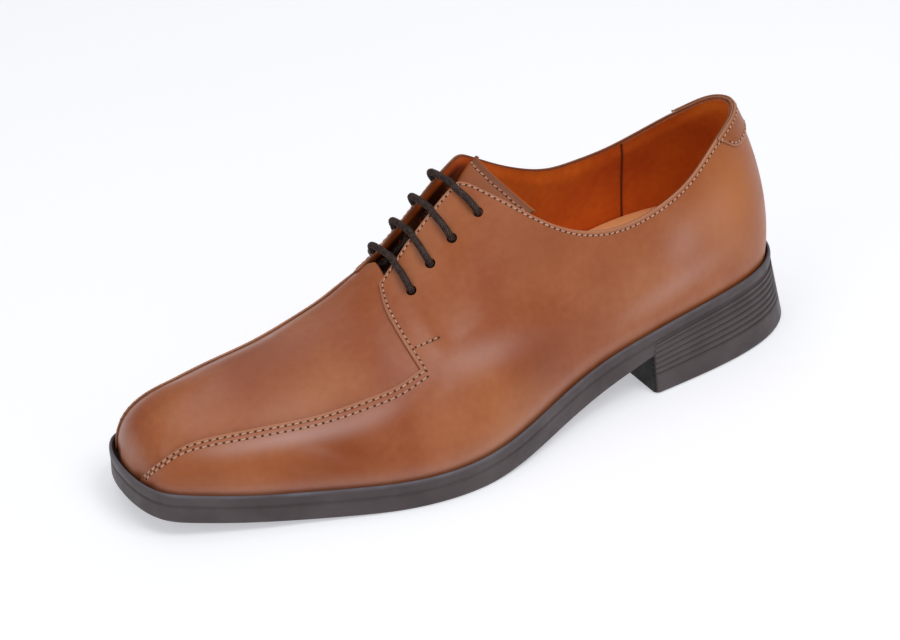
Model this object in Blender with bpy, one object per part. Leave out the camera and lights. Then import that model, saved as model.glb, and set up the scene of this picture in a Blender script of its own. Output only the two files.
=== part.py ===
"""Left lace-up shoe: moulded sole with heel, hollow upper, insole, tongue, lace and heel tab.

All tables and sizes are in millimetres, in the shoe's own axes: x runs from the back of the heel
to the toe, y to the outer (lateral) side, z up from the floor.
"""
import bpy
import bmesh
import numpy as np
from mathutils import Vector

MM = 0.001

# Driving sizes
LENGTH = 302.0
WALL = 1.8
STEP = 1.1
CLEAR = 0.3
RIM_WIDTH = 2.2
SEAT_DEPTH = 3.0
INSOLE_THICK = 2.4
INSOLE_BEVEL = 0.7
HEEL_PAD = 11.5
HEEL_PAD_BACK_X = 78.0
HEEL_PAD_FRONT_X = 150.0
TONGUE_THICK = 2.0
TAB_THICK = 1.0
LACE_RADIUS = 1.5
LACE_GAP = 0.6
HOLE_RADIUS = 2.5
HOLE_CUT = 14.0
THROAT_Y = -4.0

# Sole side
HEEL_BREAST_X = 80.5
HEEL_FLARE = 2.6
HEEL_BACK_FLARE = 3.5
HEEL_PROUD = 0.4
HEEL_TOP_DROP = 6.0
HEEL_GROOVES = 6
HEEL_PLAIN_SHARE = 0.36
HEEL_BEVEL = 0.8
HEEL_BEVEL_SHARE = 0.03
HEEL_CORNER = 2.0
GROOVE_DEPTH = 0.8
GROOVE_SHARE = 0.44
WAIST_RISE = 16.8
WAIST_POWER = 1.6
FLAT_START_X = 174.0
FLAT_END_X = 208.0
TOE_SPRING = 7.7
TOE_POWER = 1.7

# Sole edge seen from above: x, lateral half width, medial half width
OUTLINE = np.array([
    (0.0, 0.0, 0.0),
    (3.2, 13.0, 13.0),
    (12.0, 23.5, 23.5),
    (30.0, 32.2, 32.2),
    (55.0, 37.0, 36.0),
    (80.0, 39.5, 35.0),
    (105.0, 42.2, 29.5),
    (130.0, 49.0, 26.0),
    (155.0, 58.0, 27.5),
    (180.0, 62.8, 33.5),
    (205.0, 60.3, 40.0),
    (228.0, 52.8, 43.0),
    (250.0, 44.7, 42.0),
    (270.0, 37.0, 38.0),
    (285.0, 30.3, 31.5),
    (295.0, 24.0, 25.5),
    (300.2, 14.0, 16.0),
    (LENGTH, 0.0, 0.0),
])

# Top of the sole rim: x, height
RIM_HEIGHT = np.array([
    (0.0, 33.3),
    (40.0, 32.3),
    (80.0, 28.0),
    (120.0, 20.8),
    (160.0, 14.1),
    (200.0, 12.3),
    (240.0, 13.7),
    (270.0, 16.1),
    (LENGTH, 20.5),
])

# Side of the sole, upward: inset, height above the underside; then inset, depth below the rim's top
SOLE_FOOT = [
    (0.5, 0.0),
    (-0.1, 1.0),
]
SOLE_SIDE = [
    (0.1, 5.6),
    (0.7, 5.0),
    (0.7, 4.4),
    (0.0, 3.8),
    (0.0, 0.9),
    (0.6, 0.0),
    (RIM_WIDTH - 0.4, 0.0),
    (RIM_WIDTH, SEAT_DEPTH),
]

# Sections of the last, toe to heel. Each runs from a foot on the sole up to the ridge of the last.
RIB_COLUMNS = ("foot_x", "top_x", "ridge_y", "ridge_z", "spread_lat", "spread_med",
               "drop_lat", "drop_med", "rise", "swell_lat", "swell_med")
RIB_ROWS = [
    (LENGTH, 262.0, -1.0, 47.5, 30.0, 30.0, 0.0, 0.0, 16.0, 0.6, 0.6),
    (296.5, 257.0, -1.0, 48.0, 34.0, 29.0, 0.0, 0.0, 15.0, 0.6, 0.4),
    (284.0, 249.0, -1.0, 49.0, 32.0, 24.0, 0.0, 0.0, 15.0, 0.6, 0.4),
    (266.0, 238.0, -1.5, 50.5, 31.0, 19.5, 0.0, 0.0, 16.0, 0.5, 0.6),
    (246.0, 223.0, -2.5, 53.2, 32.0, 18.0, 0.0, 0.0, 17.0, 0.5, 0.8),
    (224.0, 207.0, -3.5, 58.2, 33.0, 20.0, 0.0, 0.0, 18.0, 1.0, 1.0),
    (203.0, 192.0, -4.5, 65.5, 30.0, 19.0, 0.0, 1.0, 22.0, 1.5, 0.5),
    (182.0, 178.0, -6.0, 78.0, 23.0, 15.0, 4.0, 9.0, 26.0, 2.0, 0.0),
    (162.0, 164.0, -6.5, 92.2, 19.0, 13.0, 6.0, 13.0, 30.0, 2.0, 0.0),
    (143.0, 150.0, -6.5, 106.0, 18.0, 13.0, 8.0, 15.0, 34.0, 1.0, 0.0),
    (124.0, 133.0, -5.5, 116.0, 19.0, 16.0, 10.0, 14.0, 36.0, 0.5, 0.5),
    (104.0, 112.0, -3.0, 120.0, 21.0, 21.0, 10.0, 11.0, 34.0, 0.5, 1.0),
    (80.0, 90.0, -2.0, 119.0, 23.0, 22.0, 8.0, 8.0, 32.0, 1.0, 1.0),
    (52.0, 66.0, -1.0, 121.0, 18.0, 18.0, 8.0, 8.0, 34.0, 2.0, 2.0),
    (27.0, 49.0, 0.0, 125.0, 12.0, 12.0, 10.0, 10.0, 38.0, 3.5, 3.5),
    (8.0, 40.0, 0.0, 128.0, 12.0, 12.0, 14.0, 14.0, 42.0, 4.5, 4.5),
    (0.0, 36.5, 0.0, 129.0, 15.0, 15.0, 16.0, 16.0, 44.0, 4.5, 4.5),
]
RIB = dict(zip(RIB_COLUMNS, np.array(RIB_ROWS).T))
HEEL_STATION = len(RIB_ROWS) - 1.0
THROAT_STATION = 6.45
CROWN_STATION = 6.5
SLIT_END_STATION = 10.6

# Sections in front follow the slope of the ridge; further back the facings stand apart from it
RIDGE_STEEPEST = 0.6
RIDGE_FADE_START = 5.0
RIDGE_FADE_END = 7.0

# Collar edge: x, lateral height, medial height
COLLAR = np.array([
    (8.0, 102.0, 102.0),
    (17.0, 101.6, 101.6),
    (22.0, 99.6, 99.5),
    (28.0, 97.4, 95.6),
    (35.0, 94.2, 91.7),
    (43.0, 89.6, 87.3),
    (50.0, 85.5, 83.9),
    (62.0, 80.5, 79.9),
    (75.0, 77.2, 78.4),
    (90.0, 75.7, 79.3),
    (105.0, 77.9, 85.0),
    (120.0, 84.8, 93.5),
    (135.0, 95.3, 103.6),
    (150.0, 104.5, 113.5),
    (170.0, 116.0, 127.0),
])
CORNER_BLEND = 0.07

# Lace slit: x, lateral half gap, medial half gap
SLIT = np.array([
    (135.0, 5.5, 4.8),
    (155.0, 5.0, 5.4),
    (164.0, 5.0, 6.0),
    (172.0, 5.3, 6.6),
    (180.0, 6.6, 7.3),
    (190.0, 9.5, 8.2),
])

# Edge of each side panel over the toe plug: station, share of the section's height
SEAM = {
    1: np.array([
        (0.0, 0.10),
        (0.5, 0.11),
        (0.9, 0.31),
        (1.3, 0.43),
        (1.9, 0.49),
        (2.5, 0.505),
        (4.2, 0.50),
        (5.4, 0.495),
        (6.1, 0.478),
        (6.55, 0.477),
        (8.0, 0.43),
        (10.0, 0.35),
        (12.0, 0.25),
        (HEEL_STATION, 0.30),
    ]),
    -1: np.array([
        (0.0, 0.10),
        (0.5, 0.10),
        (0.8, 0.18),
        (0.95, 0.36),
        (1.2, 0.57),
        (1.6, 0.622),
        (2.5, 0.614),
        (3.2, 0.636),
        (4.2, 0.652),
        (5.0, 0.685),
        (5.6, 0.72),
        (6.1, 0.743),
        (6.55, 0.75),
        (8.0, 0.60),
        (10.0, 0.45),
        (12.0, 0.27),
        (HEEL_STATION, 0.30),
    ]),
}
PANEL_END_STATION = {1: 0.5, -1: 0.8}

# Front edge of the lace facing on each side: share of the section's height, station
FACING_CORNER_STATION = 6.55
FACING_EDGE = {
    1: np.array([
        (0.477, FACING_CORNER_STATION),
        (0.567, 6.44),
        (0.688, 6.33),
        (0.809, 6.33),
        (0.882, 6.43),
        (1.0, CROWN_STATION),
    ]),
    -1: np.array([
        (0.75, FACING_CORNER_STATION),
        (0.80, 6.48),
        (0.86, 6.45),
        (1.0, CROWN_STATION),
    ]),
}

# Lace holes, top row first: station and share of the lateral hole, of the medial hole,
# and the stations at which the lace crosses the lateral and the medial edge of the slit
HOLES = [
    (9.16, 0.719, 9.03, 0.752, 8.95, 8.78),
    (8.38, 0.728, 8.43, 0.740, 8.27, 8.18),
    (7.69, 0.735, 7.84, 0.730, 7.64, 7.59),
    (7.04, 0.728, 7.21, 0.710, 7.00, 6.96),
]

# Lower edge of the heel tab: station, share of the section's height
TAB_EDGE = np.array([
    (14.16, 0.545),
    (14.3, 0.532),
    (14.45, 0.508),
    (14.65, 0.488),
    (14.95, 0.484),
    (15.4, 0.492),
    (HEEL_STATION, 0.498),
])

# Tongue: station, lateral and medial share of its edges, their depths under the last's surface,
# depth of its middle under the ridge, slant of the row
TONGUE = np.array([
    (5.7, 0.82, 0.82, 2.6, 2.6, 3.4, 0.0),
    (6.2, 0.80, 0.82, 3.6, 3.4, 5.2, 0.0),
    (6.9, 0.68, 0.72, 7.8, 6.8, 9.8, 0.0),
    (8.0, 0.62, 0.66, 8.0, 7.2, 13.5, 0.0),
    (9.0, 0.60, 0.66, 8.0, 7.2, 16.0, 0.0),
    (9.3, 0.60, 0.72, 7.8, 5.6, 16.5, 0.05),
    (9.6, 0.60, 0.79, 7.6, 3.8, 16.8, 0.1),
    (10.1, 0.60, 0.83, 7.0, 2.8, 17.0, 0.3),
])

# Inside return of the lace past the lateral holes: station lead and share below them
LACE_RETURN_LEAD = 0.1
LACE_RETURN_DROP = 0.075

# Lace over a facing: share of the way from the hole to the slit, extra height
LACE_OVER_FACING = [
    (0.16, 0.3),
    (0.6, 0.0),
    (0.93, 0.0),
]

# Mesh divisions
PLUG_COLUMNS = 17
QUARTER_COLUMNS = 27
PANEL_ROWS = 4
UPPER_ROWS = 6
CROWN_ROWS = 2
STEP_WIDTH = 0.012
FACING_STEP_WIDTH = 0.06
HEEL_COLUMNS = 33
BREAST_COLUMNS = 6
TONGUE_ROWS = 16
TONGUE_COLUMNS = 11
TAB_ROWS = 5
TAB_COLUMNS = 9
LACE_POINTS_PER_LEG = 2
HOLE_SEGMENTS = 12

COLOURS = {
    "sole": ((0.080, 0.066, 0.062), 0.55),
    "insole": ((0.58, 0.27, 0.10), 0.6),
    "upper": ((0.36, 0.125, 0.048), 0.4),
    "tongue": ((0.30, 0.10, 0.040), 0.45),
    "heel_tab": ((0.37, 0.13, 0.050), 0.4),
    "lace": ((0.028, 0.017, 0.014), 0.7),
}


# Curves

def smooth(knots, values):
    """Natural cubic spline through the values at the knots."""
    knots = np.asarray(knots, float)
    values = np.asarray(values, float)
    count = len(knots)
    span = np.diff(knots).reshape((-1,) + (1,) * (values.ndim - 1))
    slope = np.diff(values, axis=0) / span
    system = np.eye(count)
    right = np.zeros_like(values)
    for i in range(1, count - 1):
        before = knots[i] - knots[i - 1]
        after = knots[i + 1] - knots[i]
        system[i, i - 1:i + 2] = (before, 2 * (before + after), after)
        right[i] = 6 * (slope[i] - slope[i - 1])
    bend = np.linalg.solve(system, right)

    def at(place):
        place = np.asarray(place, float)
        k = np.clip(np.searchsorted(knots, place, side="right") - 1, 0, count - 2)
        shape = place.shape + (1,) * (values.ndim - 1)
        width = (knots[k + 1] - knots[k]).reshape(shape)
        a = (knots[k + 1] - place).reshape(shape)
        b = (place - knots[k]).reshape(shape)
        curved = (bend[k] * a ** 3 + bend[k + 1] * b ** 3) / (6 * width)
        return (curved + (values[k] / width - bend[k] * width / 6) * a
                + (values[k + 1] / width - bend[k + 1] * width / 6) * b)

    return at


def unit(vectors):
    return vectors / np.maximum(np.linalg.norm(vectors, axis=-1, keepdims=True), 1e-12)


rim_height = smooth(RIM_HEIGHT[:, 0], RIM_HEIGHT[:, 1])
collar_height = {1: smooth(COLLAR[:, 0], COLLAR[:, 1]), -1: smooth(COLLAR[:, 0], COLLAR[:, 2])}
seam_share = {side: smooth(edge[:, 0], edge[:, 1]) for side, edge in SEAM.items()}
facing_station = {side: smooth(edge[:, 0], edge[:, 1]) for side, edge in FACING_EDGE.items()}
tab_share = smooth(TAB_EDGE[:, 0], TAB_EDGE[:, 1])
ridge_height = smooth(RIB["top_x"][::-1], RIB["ridge_z"][::-1])


# Sole outline, a closed curve from the heel along the lateral side to the toe and back

OUTLINE_STEPS = 720


def closed_outline():
    lateral = OUTLINE[:, :2]
    medial = OUTLINE[-2:0:-1, [0, 2]] * (1, -1)
    turn = np.concatenate([lateral, medial])
    laps = np.concatenate([turn, turn, turn, turn[:1]])
    length = np.concatenate([[0.0], np.cumsum(np.linalg.norm(np.diff(laps, axis=0), axis=1))])
    lap = length[len(turn)]
    places = lap + lap * np.arange(OUTLINE_STEPS) / OUTLINE_STEPS
    return smooth(length, laps)(places)


EDGE_LINE = closed_outline()
TOE_INDEX = int(np.argmax(EDGE_LINE[:, 0]))
_along = unit(np.roll(EDGE_LINE, -1, 0) - np.roll(EDGE_LINE, 1, 0))
EDGE_NORMAL = np.stack([-_along[:, 1], _along[:, 0]], 1)


def edge_place(x, side):
    """Place along the outline, in outline steps, of a given x on one side."""
    steps = np.arange(0, TOE_INDEX + 1) if side > 0 else np.arange(OUTLINE_STEPS, TOE_INDEX - 1, -1)
    return np.interp(x, EDGE_LINE[steps % OUTLINE_STEPS, 0], steps)


def edge_point(place, inset):
    """Point in plan on the outline moved inward, and the outward normal there."""
    place = np.asarray(place, float) % OUTLINE_STEPS
    low = np.floor(place).astype(int)
    part = (place - low)[..., None]
    high = (low + 1) % OUTLINE_STEPS
    low = low % OUTLINE_STEPS
    point = EDGE_LINE[low] * (1 - part) + EDGE_LINE[high] * part
    normal = unit(EDGE_NORMAL[low] * (1 - part) + EDGE_NORMAL[high] * part)
    return point - inset * normal, normal


# Surface of the last

def across_ends(own, other):
    """Spline over the stations of one side, continued past toe and heel by the other side."""
    stations = np.arange(len(own))
    reach = 3
    knots = np.concatenate([-stations[reach:0:-1], stations, stations[-1] + stations[1:reach + 1]])
    values = np.concatenate([other[0][reach:0:-1], own, other[1][-2:-2 - reach:-1]])
    return smooth(knots, values)


def side_curves(side):
    name = {1: "lat", -1: "med"}
    curves = {}
    for column in ("top_x", "ridge_y", "ridge_z", "rise"):
        curves[column] = across_ends(RIB[column], (RIB[column], RIB[column]))
    for column in ("spread", "drop", "swell"):
        own = RIB[column + "_" + name[side]]
        other = RIB[column + "_" + name[-side]]
        curves[column] = across_ends(own, (other, other))
    place = {s: np.array([edge_place(x, s) for x in RIB["foot_x"]]) for s in (1, -1)}
    around = -OUTLINE_STEPS * side
    curves["place"] = across_ends(place[side], (place[-side], place[-side] + around))
    return curves


CURVES = {side: side_curves(side) for side in (1, -1)}
FOOT_INSET = RIM_WIDTH + CLEAR + STEP


def seat_height(x):
    return rim_height(x) - SEAT_DEPTH


def ridge_slope(x, station):
    """Slope of the ridge along x as the section at a station takes it up."""
    near = 0.5
    slope = (ridge_height(x + near) - ridge_height(x - near)) / (2 * near)
    fade = np.clip((RIDGE_FADE_END - station) / (RIDGE_FADE_END - RIDGE_FADE_START), 0, 1)
    return np.clip(slope, -RIDGE_STEEPEST, RIDGE_STEEPEST) * fade * fade * (3 - 2 * fade)


def rib_controls(side, station):
    """Foot, two handles and ridge point of the section at a station."""
    curve = CURVES[side]
    plan, outward = edge_point(curve["place"](station), FOOT_INSET)
    foot = np.concatenate([plan, (seat_height(plan[..., 0]) + CLEAR)[..., None]], -1)
    top = np.stack([curve[name](station) for name in ("top_x", "ridge_y", "ridge_z")], -1)
    slope = ridge_slope(top[..., 0], station)
    lean = unit(foot[..., :2] - top[..., :2])
    spread = curve["spread"](station)
    lift = np.concatenate([outward * curve["swell"](station)[..., None],
                           curve["rise"](station)[..., None]], -1)
    sink = slope * lean[..., 0] * spread - curve["drop"](station)
    reach = np.concatenate([lean * spread[..., None], sink[..., None]], -1)
    return foot, foot + lift, top + reach, top


def last_point(side, station, share):
    """Point of the last at a station, a share of the way from the foot to the ridge."""
    foot, low, high, top = rib_controls(side, np.asarray(station, float))
    v = np.asarray(share, float)[..., None]
    w = 1 - v
    return w ** 3 * foot + 3 * w * w * v * low + 3 * w * v * v * high + v ** 3 * top


def side_normal(side, station, share):
    near = 0.0005
    along = last_point(side, station + near, share) - last_point(side, station - near, share)
    upward = last_point(side, station, share + near) - last_point(side, station, share - near)
    return unit(np.cross(along, upward) * side)


def last_normal(side, station, share):
    """Outward normal, shared by both sides on the ridge and on the toe and heel lines."""
    station = np.asarray(station, float)
    share = np.asarray(share, float)
    own = side_normal(side, station, share)
    both = unit(own + side_normal(-side, station, share))
    shared = (share > 0.9999) | (station < 1e-6) | (station > HEEL_STATION - 1e-6)
    return np.where(shared[..., None], both, own)


def shell_point(side, station, share, offset):
    """Point at a distance outside the last's surface; feet keep their height."""
    normal = last_normal(side, station, share)
    foot = np.asarray(share) < 1e-6
    flat = unit(normal * (1, 1, 0))
    normal = np.where(foot[..., None], flat, normal)
    return last_point(side, station, share) + normal * np.asarray(offset)[..., None]


def solve_share(excess, count):
    """Share at which a growing function of it passes zero, by halving."""
    low = np.zeros(count)
    high = np.ones(count)
    for _ in range(36):
        middle = (low + high) / 2
        over = excess(middle) > 0
        high = np.where(over, middle, high)
        low = np.where(over, low, middle)
    return (low + high) / 2


def topline_share(side, station):
    """Share of the section at the slit and collar edge, with the corner between them rounded."""
    station = np.asarray(station, float)

    def above_collar(share):
        point = last_point(side, station, share)
        x = np.clip(point[..., 0], COLLAR[0, 0], COLLAR[-1, 0])
        return point[..., 2] - collar_height[side](x)

    def inside_slit(share):
        point = last_point(side, station, share)
        gap = np.interp(point[..., 0], SLIT[:, 0], SLIT[:, 1 if side > 0 else 2])
        return gap - side * (point[..., 1] - THROAT_Y)

    collar = solve_share(above_collar, station.shape)
    slit = solve_share(inside_slit, station.shape)
    slit = np.where(station > SLIT_END_STATION, 1.0, slit)
    blend = np.clip(0.5 + 0.5 * (slit - collar) / CORNER_BLEND, 0, 1)
    return slit * (1 - blend) + collar * blend - CORNER_BLEND * blend * (1 - blend)


# Mesh helpers

def new_object(name, vertices, faces, collection):
    mesh = bpy.data.meshes.new(name)
    mesh.from_pydata([tuple(point) for point in np.asarray(vertices) * MM], [], faces)
    bm = bmesh.new()
    bm.from_mesh(mesh)
    bmesh.ops.recalc_face_normals(bm, faces=bm.faces)
    bm.to_mesh(mesh)
    bm.free()
    obj = bpy.data.objects.new(name, mesh)
    collection.objects.link(obj)
    return obj


def finish(obj, root, crease_deg=35.0):
    colour, roughness = COLOURS[obj.name]
    material = bpy.data.materials.new(obj.name)
    material.use_nodes = True
    shader = material.node_tree.nodes["Principled BSDF"]
    shader.inputs["Base Color"].default_value = (*colour, 1.0)
    shader.inputs["Roughness"].default_value = roughness
    shader.inputs["Metallic"].default_value = 0.0
    obj.data.materials.append(material)
    if obj.type == "MESH":
        obj.data.shade_smooth()
        obj.data.set_sharp_from_angle(angle=np.radians(crease_deg))
    obj.parent = root


def sheet_faces(rows, columns, start=0):
    """Quads of a grid of vertices numbered row by row."""
    faces = []
    for j in range(rows - 1):
        for i in range(columns - 1):
            a = start + j * columns + i
            faces.append((a, a + 1, a + columns + 1, a + columns))
    return faces


def thick_sheet(outer, inner, faces):
    """Closed solid from two matching point sets, a skin on each and a wall along open edges."""
    count = len(outer)
    uses = {}
    for face in faces:
        for a, b in zip(face, face[1:] + face[:1]):
            key = (min(a, b), max(a, b))
            uses[key] = uses.get(key, 0) + 1
    solid = list(faces)
    solid += [tuple(count + k for k in reversed(face)) for face in faces]
    for (a, b), times in uses.items():
        if times == 1:
            solid.append((a, b, b + count, a + count))
    return np.concatenate([outer, inner]), solid


def cut(obj, cutter, operation="DIFFERENCE"):
    modifier = obj.modifiers.new(cutter.name, "BOOLEAN")
    modifier.operation = operation
    modifier.solver = "EXACT"
    modifier.object = cutter
    cutter.hide_render = True
    cutter.display_type = "WIRE"


# Stations shared by sole, insole and upper, toe to heel, so that their edges run parallel

def column_stations(edge_station):
    """Stations of all columns where the facing edge is at the given station."""
    plug = edge_station * np.arange(PLUG_COLUMNS + 1) / PLUG_COLUMNS
    share = np.arange(1, QUARTER_COLUMNS + 1) / QUARTER_COLUMNS
    behind = edge_station + FACING_STEP_WIDTH
    quarter = behind + (HEEL_STATION - behind) * share
    return np.concatenate([plug, [behind], quarter])


FOOT_STATIONS = column_stations(FACING_CORNER_STATION)


def ring(inset, height):
    """Closed loop of points round the sole; height is a function of plan x."""
    loop = []
    for side, order in ((1, slice(None, None, -1)), (-1, slice(1, -1))):
        plan, _ = edge_point(CURVES[side]["place"](FOOT_STATIONS[order]), inset)
        loop.append(np.column_stack([plan, height(plan[:, 0])]))
    return np.concatenate(loop)


def loft_rings(rings):
    """Closed solid through rings of equal count; the ends are closed by cross strips."""
    count = len(rings[0])
    faces = []
    for j in range(len(rings) - 1):
        for i in range(count):
            k = (i + 1) % count
            faces.append((j * count + i, j * count + k, (j + 1) * count + k, (j + 1) * count + i))
    for start, flip in ((0, True), ((len(rings) - 1) * count, False)):
        for i in range(count // 2):
            strip = [i, i + 1, count - i - 1, (count - i) % count]
            strip = list(dict.fromkeys(start + k for k in strip))
            faces.append(tuple(reversed(strip)) if flip else tuple(strip))
    return np.concatenate(rings), faces


# Sole

def underside(x):
    """Height of the sole's underside: waist arch, flat tread and toe spring."""
    waist = np.clip((FLAT_START_X - x) / (FLAT_START_X - HEEL_BREAST_X), 0, 1)
    toe = np.clip((x - FLAT_END_X) / (LENGTH - FLAT_END_X), 0, 1)
    return WAIST_RISE * waist ** WAIST_POWER + TOE_SPRING * toe ** TOE_POWER


def make_sole_plate(collection):
    rings = []
    for inset, height in SOLE_FOOT:
        rings.append(ring(inset, lambda x: underside(x) + height))
    for inset, depth in SOLE_SIDE:
        rings.append(ring(inset, lambda x: rim_height(x) - depth))
    return new_object("sole", *loft_rings(rings), collection)


def heel_loop(share, sunk):
    """Loop round the heel block at a share of its height, closed by a breast with rounded corners."""
    first = edge_place(HEEL_BREAST_X - HEEL_CORNER, 1)
    last = edge_place(HEEL_BREAST_X - HEEL_CORNER, -1) - OUTLINE_STEPS
    edge, outward = edge_point(np.linspace(first, last, HEEL_COLUMNS), 0.0)
    flare = HEEL_FLARE + HEEL_BACK_FLARE * np.clip(-outward[:, 0], 0, 1) ** 2
    plan = edge + outward * (HEEL_PROUD + flare * (1 - share) - sunk)[:, None]
    corners = plan[-1, 1] + HEEL_CORNER, plan[0, 1] - HEEL_CORNER
    breast = [(HEEL_BREAST_X, y) for y in np.linspace(*corners, BREAST_COLUMNS)]
    loop = np.concatenate([plan, breast])
    return np.column_stack([loop, share * (rim_height(loop[:, 0]) - HEEL_TOP_DROP)])


def make_heel_block(collection):
    rings = [heel_loop(0.0, HEEL_BEVEL), heel_loop(HEEL_BEVEL_SHARE, 0.0)]
    pitch = (1 - HEEL_PLAIN_SHARE) / HEEL_GROOVES
    for k in range(HEEL_GROOVES):
        low = HEEL_PLAIN_SHARE + k * pitch
        for part, sunk in ((0.0, 0.0), (GROOVE_SHARE / 2, GROOVE_DEPTH), (GROOVE_SHARE, 0.0)):
            rings.append(heel_loop(low + part * pitch, sunk))
    rings.append(heel_loop(1.0, 0.0))
    return new_object("heel_block", *loft_rings(rings), collection)


# Insole

def insole_height(x):
    """Height of the insole's top: thin in front, a raised pad under the heel."""
    pad = np.clip((HEEL_PAD_FRONT_X - x) / (HEEL_PAD_FRONT_X - HEEL_PAD_BACK_X), 0, 1)
    return seat_height(x) + CLEAR + INSOLE_THICK + HEEL_PAD * pad * pad * (3 - 2 * pad)


def wall_ring(gap, drop):
    """Closed loop inside the upper's wall, a gap away from it and a drop below the insole's top."""
    loop = []
    for side, order in ((1, slice(None, None, -1)), (-1, slice(1, -1))):
        station = FOOT_STATIONS[order]

        def above_level(share):
            point = last_point(side, station, share)
            return point[..., 2] - insole_height(point[..., 0]) + drop

        share = solve_share(above_level, station.shape)
        plan = shell_point(side, station, share, np.full(len(station), -WALL - gap))[:, :2]
        loop.append(np.column_stack([plan, insole_height(plan[:, 0]) - drop]))
    return np.concatenate(loop)


def make_insole(collection):
    gap = 2 * CLEAR
    bottom = ring(FOOT_INSET + WALL + gap, lambda x: seat_height(x) + CLEAR)
    edge = wall_ring(gap, INSOLE_BEVEL)
    top = wall_ring(gap + INSOLE_BEVEL, 0.0)
    return new_object("insole", *loft_rings([bottom, edge, top]), collection)


# Upper

def upper_grid(side):
    """Stations, shares and offsets of the upper's outer skin, row by row, foot to ridge."""
    rows = []
    quarter = np.arange(PLUG_COLUMNS + 2 + QUARTER_COLUMNS) > PLUG_COLUMNS
    for part in np.linspace(0, 1, PANEL_ROWS + 1):
        station = FOOT_STATIONS
        share = seam_share[side](station) * part
        panel = quarter | (station > PANEL_END_STATION[side])
        rows.append((station, share, np.where(panel, STEP, 0.0)))
    crown_start = topline_share(side, np.array([THROAT_STATION]))[0]
    for part in np.linspace(0, 1, UPPER_ROWS + 1):
        corner = FACING_EDGE[side][0, 0]
        guess = corner + part * (crown_start - corner)
        station = column_stations(float(facing_station[side](guess)))
        low = seam_share[side](station) + STEP_WIDTH * (1 - part)
        high = np.where(quarter, topline_share(side, np.maximum(station, THROAT_STATION)), crown_start)
        share = low + part * (high - low)
        rows.append((station, share, np.where(quarter, STEP, 0.0)))
    for part in np.linspace(0, 1, CROWN_ROWS + 1)[1:]:
        guess = crown_start + part * (1 - crown_start)
        station = column_stations(float(facing_station[side](guess)))
        rows.append((station, np.full(len(station), guess), np.zeros(len(station))))
    return rows


def make_upper(collection):
    columns = PLUG_COLUMNS + 2 + QUARTER_COLUMNS
    crown_row = PANEL_ROWS + 1 + UPPER_ROWS
    number = {}
    outer = []
    inner = []
    faces = []
    for side in (1, -1):
        rows = upper_grid(side)
        ridge_row = len(rows) - 1
        for j, (station, share, offset) in enumerate(rows):
            skin = shell_point(side, station, share, offset)
            lining = shell_point(side, station, share, np.full(columns, -WALL))
            for i in range(columns):
                if j > crown_row and i > PLUG_COLUMNS:
                    continue
                shared = i in (0, columns - 1) or j == ridge_row
                key = (1 if shared else side, i, j)
                if key not in number:
                    number[key] = len(outer)
                    outer.append(skin[i])
                    inner.append(lining[i])
                number[(side, i, j)] = number[key]
        for j in range(ridge_row):
            for i in range(columns - 1):
                if j >= crown_row and i >= PLUG_COLUMNS:
                    continue
                corners = ((i, j), (i + 1, j), (i + 1, j + 1), (i, j + 1))
                face = tuple(number[(side, *corner)] for corner in corners)
                faces.append(face if side > 0 else face[::-1])
    return new_object("upper", *thick_sheet(np.array(outer), np.array(inner), faces), collection)


def hole_place(side, row):
    """Station and share of a lace hole."""
    return HOLES[row][:2] if side > 0 else HOLES[row][2:4]


def hole_frame(side, row):
    """Centre and outward normal of a lace hole."""
    station, share = hole_place(side, row)
    return last_point(side, station, share), last_normal(side, np.array(station), np.array(share))


def make_hole_cutter(side, row, collection):
    name = "hole_%s_%d" % ("lateral" if side > 0 else "medial", row + 1)
    bm = bmesh.new()
    bmesh.ops.create_cone(bm, cap_ends=True, segments=HOLE_SEGMENTS, radius1=HOLE_RADIUS * MM,
                          radius2=HOLE_RADIUS * MM, depth=HOLE_CUT * MM)
    mesh = bpy.data.meshes.new(name)
    bm.to_mesh(mesh)
    bm.free()
    cutter = bpy.data.objects.new(name, mesh)
    collection.objects.link(cutter)
    centre, normal = hole_frame(side, row)
    cutter.location = Vector(centre * MM)
    cutter.rotation_mode = "QUATERNION"
    cutter.rotation_quaternion = Vector(normal).to_track_quat("Z", "Y")
    return cutter


# Tongue

def tongue_section(row, across):
    """Points across the tongue, lateral to medial, hung under the inside of the upper."""
    station, lateral, medial, lateral_depth, medial_depth, middle_depth, skew = row
    ends = []
    for side, share, depth in ((1, lateral, lateral_depth), (-1, medial, medial_depth)):
        place = np.array([station + side * skew])
        ends.append(shell_point(side, place, np.array([share]), np.array([-depth]))[0])
    ridge = last_point(1, np.array([station]), np.array([1.0]))[0]
    between = (ends[0] + ends[1]) / 2
    middle = np.array([ridge[0], (ridge[1] + between[1]) / 2, ridge[2] - middle_depth])
    handle = 2 * middle - between
    t = across[:, None]
    return (1 - t) ** 2 * ends[0] + 2 * t * (1 - t) * handle + t ** 2 * ends[1]


def make_tongue(collection):
    shape = smooth(TONGUE[:, 0], TONGUE)
    across = np.linspace(0, 1, TONGUE_COLUMNS)
    stations = np.linspace(TONGUE[0, 0], TONGUE[-1, 0], TONGUE_ROWS)
    grid = np.array([tongue_section(shape(station), across) for station in stations])
    lengthwise = np.gradient(grid, axis=0)
    sideways = np.gradient(grid, axis=1)
    normal = unit(np.cross(lengthwise, sideways))
    normal *= np.sign(normal[..., 2:3].mean())
    top = grid.reshape(-1, 3)
    bottom = (grid - TONGUE_THICK * normal).reshape(-1, 3)
    faces = sheet_faces(TONGUE_ROWS, TONGUE_COLUMNS)
    return new_object("tongue", *thick_sheet(top, bottom, faces), collection)


# Lace, one cord: four bars outside, joined by runs inside, both ends under the top lateral hole

def over_panel(side, station, share):
    """Cord centre lying on the outside of the side panel."""
    offset = np.array([STEP + LACE_RADIUS + LACE_GAP])
    return shell_point(side, np.array([station]), np.array([share]), offset)[0]


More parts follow.
